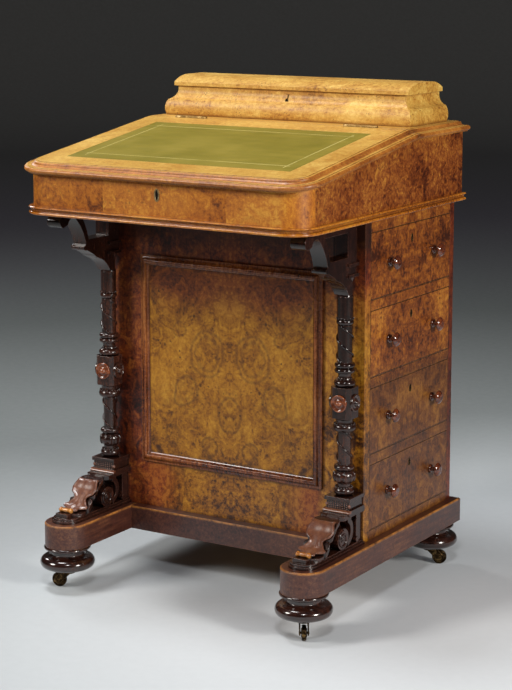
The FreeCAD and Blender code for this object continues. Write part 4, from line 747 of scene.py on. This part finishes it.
def spiral_ridges(side, material):
    """Two raised lines that wind down each round shaft of a column."""
    bm = bmesh.new()
    axis, tree = column_axis(side), skin(f"column_{side}")
    for (low, high), turned in zip(SHAFTS, RIDGE_TURN[side]):
        radius = turned_radius(tree, axis, (low + high) / 2)
        fall = (high - low - 2 * SHAFT_GAP) * MM
        turns = fall / (RIDGE_PITCH * MM)
        steps = int(RIDGE_STEPS * turns)
        for start in range(RIDGE_STARTS):
            stand = (around(axis, high - SHAFT_GAP, radius, turned / 360 + start / RIDGE_STARTS)
                     @ Matrix.Rotation(math.pi / 2, 4, "X"))
            ring = bmesh.ops.create_circle(bm, segments=RIDGE_CORNERS, radius=RIDGE_SIZE * MM,
                                           matrix=stand)
            edges = list({edge for vert in ring["verts"] for edge in vert.link_edges})
            bmesh.ops.spin(bm, geom=ring["verts"] + edges, cent=axis, axis=(0, 0, 1),
                           dvec=(0, 0, -fall / steps), angle=2 * math.pi * turns, steps=steps)
    open_edges = [edge for edge in bm.edges if edge.is_boundary]
    bmesh.ops.holes_fill(bm, edges=open_edges, sides=RIDGE_CORNERS)
    carve(f"spiral_ridges_{side}", bm, material)


def beads(side, material):
    """Rows of small beads on the shoulders of the turned rings."""
    bm = bmesh.new()
    axis, tree = column_axis(side), skin(f"column_{side}")
    for level, count in BEAD_ROWS:
        radius = turned_radius(tree, axis, level) - BEAD_SUNK * BEAD * MM
        for number in range(count):
            add_ball(bm, around(axis, level, radius, number / count),
                     (BEAD, BEAD, BEAD * BEAD_TALL), 10, 6)
    carve(f"beads_{side}", bm, material)


def bulb_lobes(side, material):
    """Upright lobes round the bulb at the foot of a column."""
    bm = bmesh.new()
    axis, tree = column_axis(side), skin(f"column_{side}")
    radius = turned_radius(tree, axis, LOBE_LEVEL) - LOBE_SUNK * MM
    for number in range(LOBE_COUNT):
        add_ball(bm, around(axis, LOBE_LEVEL, radius, (number + 0.5) / LOBE_COUNT), LOBE, 14, 10)
    carve(f"bulb_lobes_{side}", bm, material)


# ---------------------------------------------------------------- carving of a console

def console_origin(side):
    """Point of a console on the pedestal's face, in its middle plane, at the rail's top."""
    low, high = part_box(f"console_{side}")
    return Vector(((low.x + high.x) / 2, high.y, low.z))


def offset(across, forward, level):
    """Way from a console's origin, in metres, by three distances in mm."""
    return Vector((across, -forward, level)) * MM


def volutes(side, material):
    """Coiled line on both end faces of a console's drum."""
    bm = bmesh.new()
    origin = console_origin(side)
    outer, inner = VOLUTE_RADII
    for face in (-DRUM_FACE, DRUM_FACE):
        middle = origin + offset(face, DRUM_FORWARD, DRUM_LEVEL)
        points, radii = [], []
        for step in range(VOLUTE_STEPS + 1):
            share = step / VOLUTE_STEPS
            reach = outer + (inner - outer) * share
            angle = math.radians(VOLUTE_START) + 2 * math.pi * VOLUTE_TURNS * share
            points.append(middle + offset(0, -reach * math.cos(angle), reach * math.sin(angle)))
            radii.append(VOLUTE_CORD * (1 - VOLUTE_TAPER * share) * MM)
        add_cord(bm, points, radii)
        add_ball(bm, Matrix.Translation(middle), VOLUTE_EYE, 16, 8)
    carve(f"volutes_{side}", bm, material)


def between(table, value):
    """Value read off a table of pairs, eased from one pair to the next."""
    for (low, first), (high, second) in zip(table, table[1:]):
        if value <= high:
            share = (value - low) / (high - low)
            share = share * share * (3 - 2 * share)
            return first + (second - first) * share
    return table[-1][1]


def leaf_blade(side, material):
    """Lobed leaf with a rounded rib and curled edges, laid on the console's scroll."""
    origin, tree = console_origin(side), skin(f"console_{side}")
    down = Vector(LEAF_SLANT).normalized()
    nearest, furthest = LEAF_OUTLINE[0][0], LEAF_OUTLINE[-1][0]
    bm = bmesh.new()
    columns, rows = LEAF_GRID
    bmesh.ops.create_grid(bm, x_segments=columns, y_segments=rows, size=1)
    for vert in bm.verts:
        across, along = vert.co.x, (vert.co.y + 1) / 2
        forward = nearest + (furthest - nearest) * along
        under, outward = tree.ray_cast(origin + offset(0, forward, LEAF_CLEAR), down)[:2]
        lift = (LEAF_LIFT + LEAF_CROWN * math.exp(-(across / LEAF_RIB) ** 2)
                + LEAF_CURL * across ** 4)
        half = between(LEAF_OUTLINE, forward)
        vert.co = under + outward * lift * MM + Vector((across * half * MM, 0, 0))
    for _ in range(LEAF_SMOOTHINGS):
        bmesh.ops.smooth_vert(bm, verts=bm.verts, factor=0.5, use_axis_x=False,
                              use_axis_y=True, use_axis_z=True)
    piece = carve(f"leaf_{side}", bm, material)
    solid = piece.modifiers.new("thickness", "SOLIDIFY")
    solid.thickness, solid.offset = LEAF_THICK * MM, -1


def toe_roll(side, material):
    """Small turned roll across the leaf's toe."""
    bm = bmesh.new()
    above = console_origin(side) + offset(0, TOE_FORWARD, LEAF_CLEAR)
    toe = skin(f"console_{side}").ray_cast(above, Vector((0, 0, -1)))[0]
    widest = max(radius for radius, along in TOE_ROLL)
    middle = toe + Vector((0, 0, widest - TOE_SUNK)) * MM
    tip = TOE_ROLL[-1][1]
    for hand in (-1, 1):
        verts = [bm.verts.new(middle + Vector((hand * (tip - along), 0, radius)) * MM)
                 for radius, along in TOE_ROLL]
        edges = [bm.edges.new(pair) for pair in zip(verts, verts[1:])]
        bmesh.ops.spin(bm, geom=verts + edges, cent=middle, axis=(1, 0, 0), dvec=(0, 0, 0),
                       angle=2 * math.pi, steps=24, use_merge=True, use_duplicate=False)
    bmesh.ops.remove_doubles(bm, verts=bm.verts, dist=1e-5)
    carve(f"toe_roll_{side}", bm, material)


def block_studs(side, material):
    """Diapered studs on the front of a console's upper block, and a bead at each corner."""
    bm = bmesh.new()
    origin = console_origin(side)
    columns, rows = BLOCK_STUDS
    wide, high = STUD_SPACING
    stand = Matrix.Rotation(math.pi / 2, 4, "X") @ Matrix.Rotation(math.pi / 4, 4, "Z")
    for column in range(columns):
        for row in range(rows):
            across = (column - (columns - 1) / 2) * STUD * wide
            level = BLOCK_LOW + (row + 0.5) * STUD * high + STUD_LIFT
            place = Matrix.Translation(origin + offset(across, BLOCK_FACE, level)) @ stand
            bmesh.ops.create_cone(bm, cap_ends=True, segments=4, radius1=STUD * STUD_FOOT * MM,
                                  radius2=STUD_TIP * MM, depth=STUD_DEPTH * MM, matrix=place)
    outward, sunk, rise = CORNER_PLACE
    for hand in (-1, 1):
        corner = origin + offset(hand * outward, BLOCK_FACE - sunk, BLOCK_LOW + rise)
        add_ball(bm, Matrix.Translation(corner), CORNER_BEAD, 12, 8)
    carve(f"block_studs_{side}", bm, material)


# ---------------------------------------------------------------- keyhole linings

def keyhole_lining(name, middle, facing, outline, rim_metal, hole, body):
    """Thin rim round a keyhole, with the shallow hole inside it painted near-black as shade.

    facing is the turn about the upright axis of a rim that faces along -Y.
    """
    half_width, half_height, rim, proud = outline
    stand = (Matrix.Translation(middle) @ Matrix.Rotation(facing, 4, "Z")
             @ Matrix.Rotation(math.pi / 2, 4, "X"))
    shape = Matrix.Diagonal((half_width * MM, half_height * MM, MM, 1))
    bm = bmesh.new()
    disc = bmesh.ops.create_circle(bm, cap_ends=True, segments=32, radius=1,
                                   matrix=stand @ shape)
    back = disc["verts"][0].link_faces[0]
    outward = stand.to_3x3() @ Vector((0, 0, 1))
    raised = bmesh.ops.extrude_face_region(bm, geom=[back], use_keep_orig=True)["geom"]
    bmesh.ops.translate(bm, vec=outward * proud * MM,
                        verts=[item for item in raised if isinstance(item, bmesh.types.BMVert)])
    front = next(item for item in raised if isinstance(item, bmesh.types.BMFace))
    bmesh.ops.inset_individual(bm, faces=[front], thickness=rim * MM)
    bmesh.ops.inset_individual(bm, faces=[front], thickness=HOLE_LEDGE * MM,
                               depth=-HOLE_DEPTH * proud * MM)
    # The hole's face takes the painted shade.
    front.material_index = 1
    piece = new_piece(name, bm, rim_metal, hole)
    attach(piece, body)


def keyhole_linings(metal, dark_metal):
    """A brass lining on the case's front, and dark ones on the box and the drawers."""
    hole = keyhole_painted_shade()
    front = Vector((0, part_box("case_front")[0].y, CASE_KEYHOLE_Z * MM))
    keyhole_lining("case_keyhole_lining", front, 0.0, CASE_LINING, metal, hole,
                   BODIES["case_front"])
    ahead = Vector((BESIDE_KEYHOLE * MM, -1, BOX_KEYHOLE_Z * MM))
    wall = skin("box_walls").ray_cast(ahead, Vector((0, 1, 0)))[0]
    face = Vector((0, wall.y - BOX_LINING_AHEAD * MM, wall.z))
    keyhole_lining("box_keyhole_lining", face, 0.0, BOX_LINING, dark_metal, hole,
                   BODIES["box_walls"])
    for number in DRAWERS:
        low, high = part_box(f"drawer_{number}_front")
        middle = Vector((high.x, (low.y + high.y) / 2, high.z - KEYHOLE_DROP * MM))
        keyhole_lining(f"drawer_{number}_keyhole_lining", middle, math.pi / 2, DRAWER_LINING,
                       dark_metal, hole, BODIES[f"drawer_{number}_front"])


# ---------------------------------------------------------------- floor, light and camera

def backdrop():
    """Round studio sweep: a floor that turns up into a wall, with painted light pale near the desk.
    """
    bm = bmesh.new()
    curve = [(SWEEP_FLOOR + SWEEP_CURVE * math.sin(a), SWEEP_CURVE - SWEEP_CURVE * math.cos(a))
             for a in (math.radians(10 * step) for step in range(10))]
    outline = [*((ring, 0.0) for ring in SWEEP_RINGS), *curve,
               (SWEEP_FLOOR + SWEEP_CURVE, SWEEP_TOP)]
    verts = [bm.verts.new((r, 0, z)) for r, z in outline]
    edges = [bm.edges.new(pair) for pair in zip(verts, verts[1:])]
    bmesh.ops.spin(bm, geom=verts + edges, cent=(0, 0, 0), axis=(0, 0, 1), dvec=(0, 0, 0),
                   angle=2 * math.pi, steps=72, use_merge=True, use_duplicate=False)
    bmesh.ops.remove_doubles(bm, verts=bm.verts, dist=1e-5)
    bmesh.ops.recalc_face_normals(bm, faces=bm.faces)
    bmesh.ops.reverse_faces(bm, faces=bm.faces)
    mesh = bpy.data.meshes.new("studio_sweep")
    bm.to_mesh(mesh)
    bm.free()
    mesh.shade_smooth()
    mesh.materials.append(studio_paper_painted_light())
    sweep = bpy.data.objects.new("studio_sweep", mesh)
    bpy.context.scene.collection.objects.link(sweep)


def studio_paper_painted_light():
    """Matt paper with painted light and shade: palest beside the desk and dark on the wall."""
    s = Surface("studio_paper_painted_light")
    place = s.coords()
    aside = s.add("VectorMath", {0: place, 1: PAINTED_LIGHT_SPOT}, operation="SUBTRACT").outputs[0]
    far = s.add("VectorMath", {0: aside}, operation="LENGTH").outputs["Value"]
    base = s.ramp(s.calc("DIVIDE", far, PAINTED_LIGHT_REACH), SWEEP_PAINTED_LIGHT)
    base = s.blend(0.04, base, s.ramp(s.noise(place, 60, 3), SPECK_COLOURS))
    return s.finish(base, 0.85, Specular_IOR_Level=0.2)


def lamp(name, place, aim, width, watts, colour):
    """Round lamp that looks from its place at its aim."""
    light = bpy.data.lights.new(name, "AREA")
    light.shape = "DISK"
    light.size = width
    light.energy = watts
    light.color = colour
    thing = bpy.data.objects.new(name, light)
    thing.location = place
    thing.rotation_euler = (Vector(aim) - Vector(place)).to_track_quat("-Z", "Y").to_euler()
    bpy.context.scene.collection.objects.link(thing)


def light_scene():
    """Dim grey surroundings, and the lamps."""
    world = bpy.data.worlds.new("studio")
    world.use_nodes = True
    background = world.node_tree.nodes["Background"].inputs
    background["Color"].default_value = (*WORLD_COLOUR, 1)
    background["Strength"].default_value = 1.0
    bpy.context.scene.world = world
    for name, settings in LAMPS.items():
        lamp(name, *settings)


def place_camera():
    """View from the front right, a little from above."""
    camera = bpy.data.cameras.new("camera")
    camera.lens = CAMERA_LENS
    camera.sensor_width = CAMERA_SENSOR
    camera.shift_y = CAMERA_SHIFT
    thing = bpy.data.objects.new("camera", camera)
    thing.location = CAMERA_PLACE
    thing.rotation_euler = (math.radians(CAMERA_TILT), 0, math.radians(CAMERA_TURN))
    bpy.context.scene.collection.objects.link(thing)
    scene = bpy.context.scene
    scene.camera = thing
    scene.render.resolution_x, scene.render.resolution_y = PICTURE
    scene.view_settings.view_transform = "Standard"


# ---------------------------------------------------------------- the desk

def dress_desk():
    """Materials on every solid, and every carved and brass piece."""
    wood = {**veneers(), **solid_walnuts()}
    lining = brass("aged_brass", "old_brass", 0.42)
    tarnished = brass("dark_brass", "dark_brass", 0.28)
    dress_wood(wood)
    dress(leather(), "slope_leather")
    dress_metal(lining, tarnished)
    keyhole_linings(lining, tarnished)
    for side in SIDES:
        for carving in (beads, bulb_lobes, volutes):
            carving(side, wood["carved"])
        for carving in (leaf_blade, block_studs):
            carving(side, wood["leaf"])
        toe_roll(side, wood["toe"])
        spiral_ridges(side, wood["carved"])


dress_desk()
backdrop()
light_scene()
place_camera()
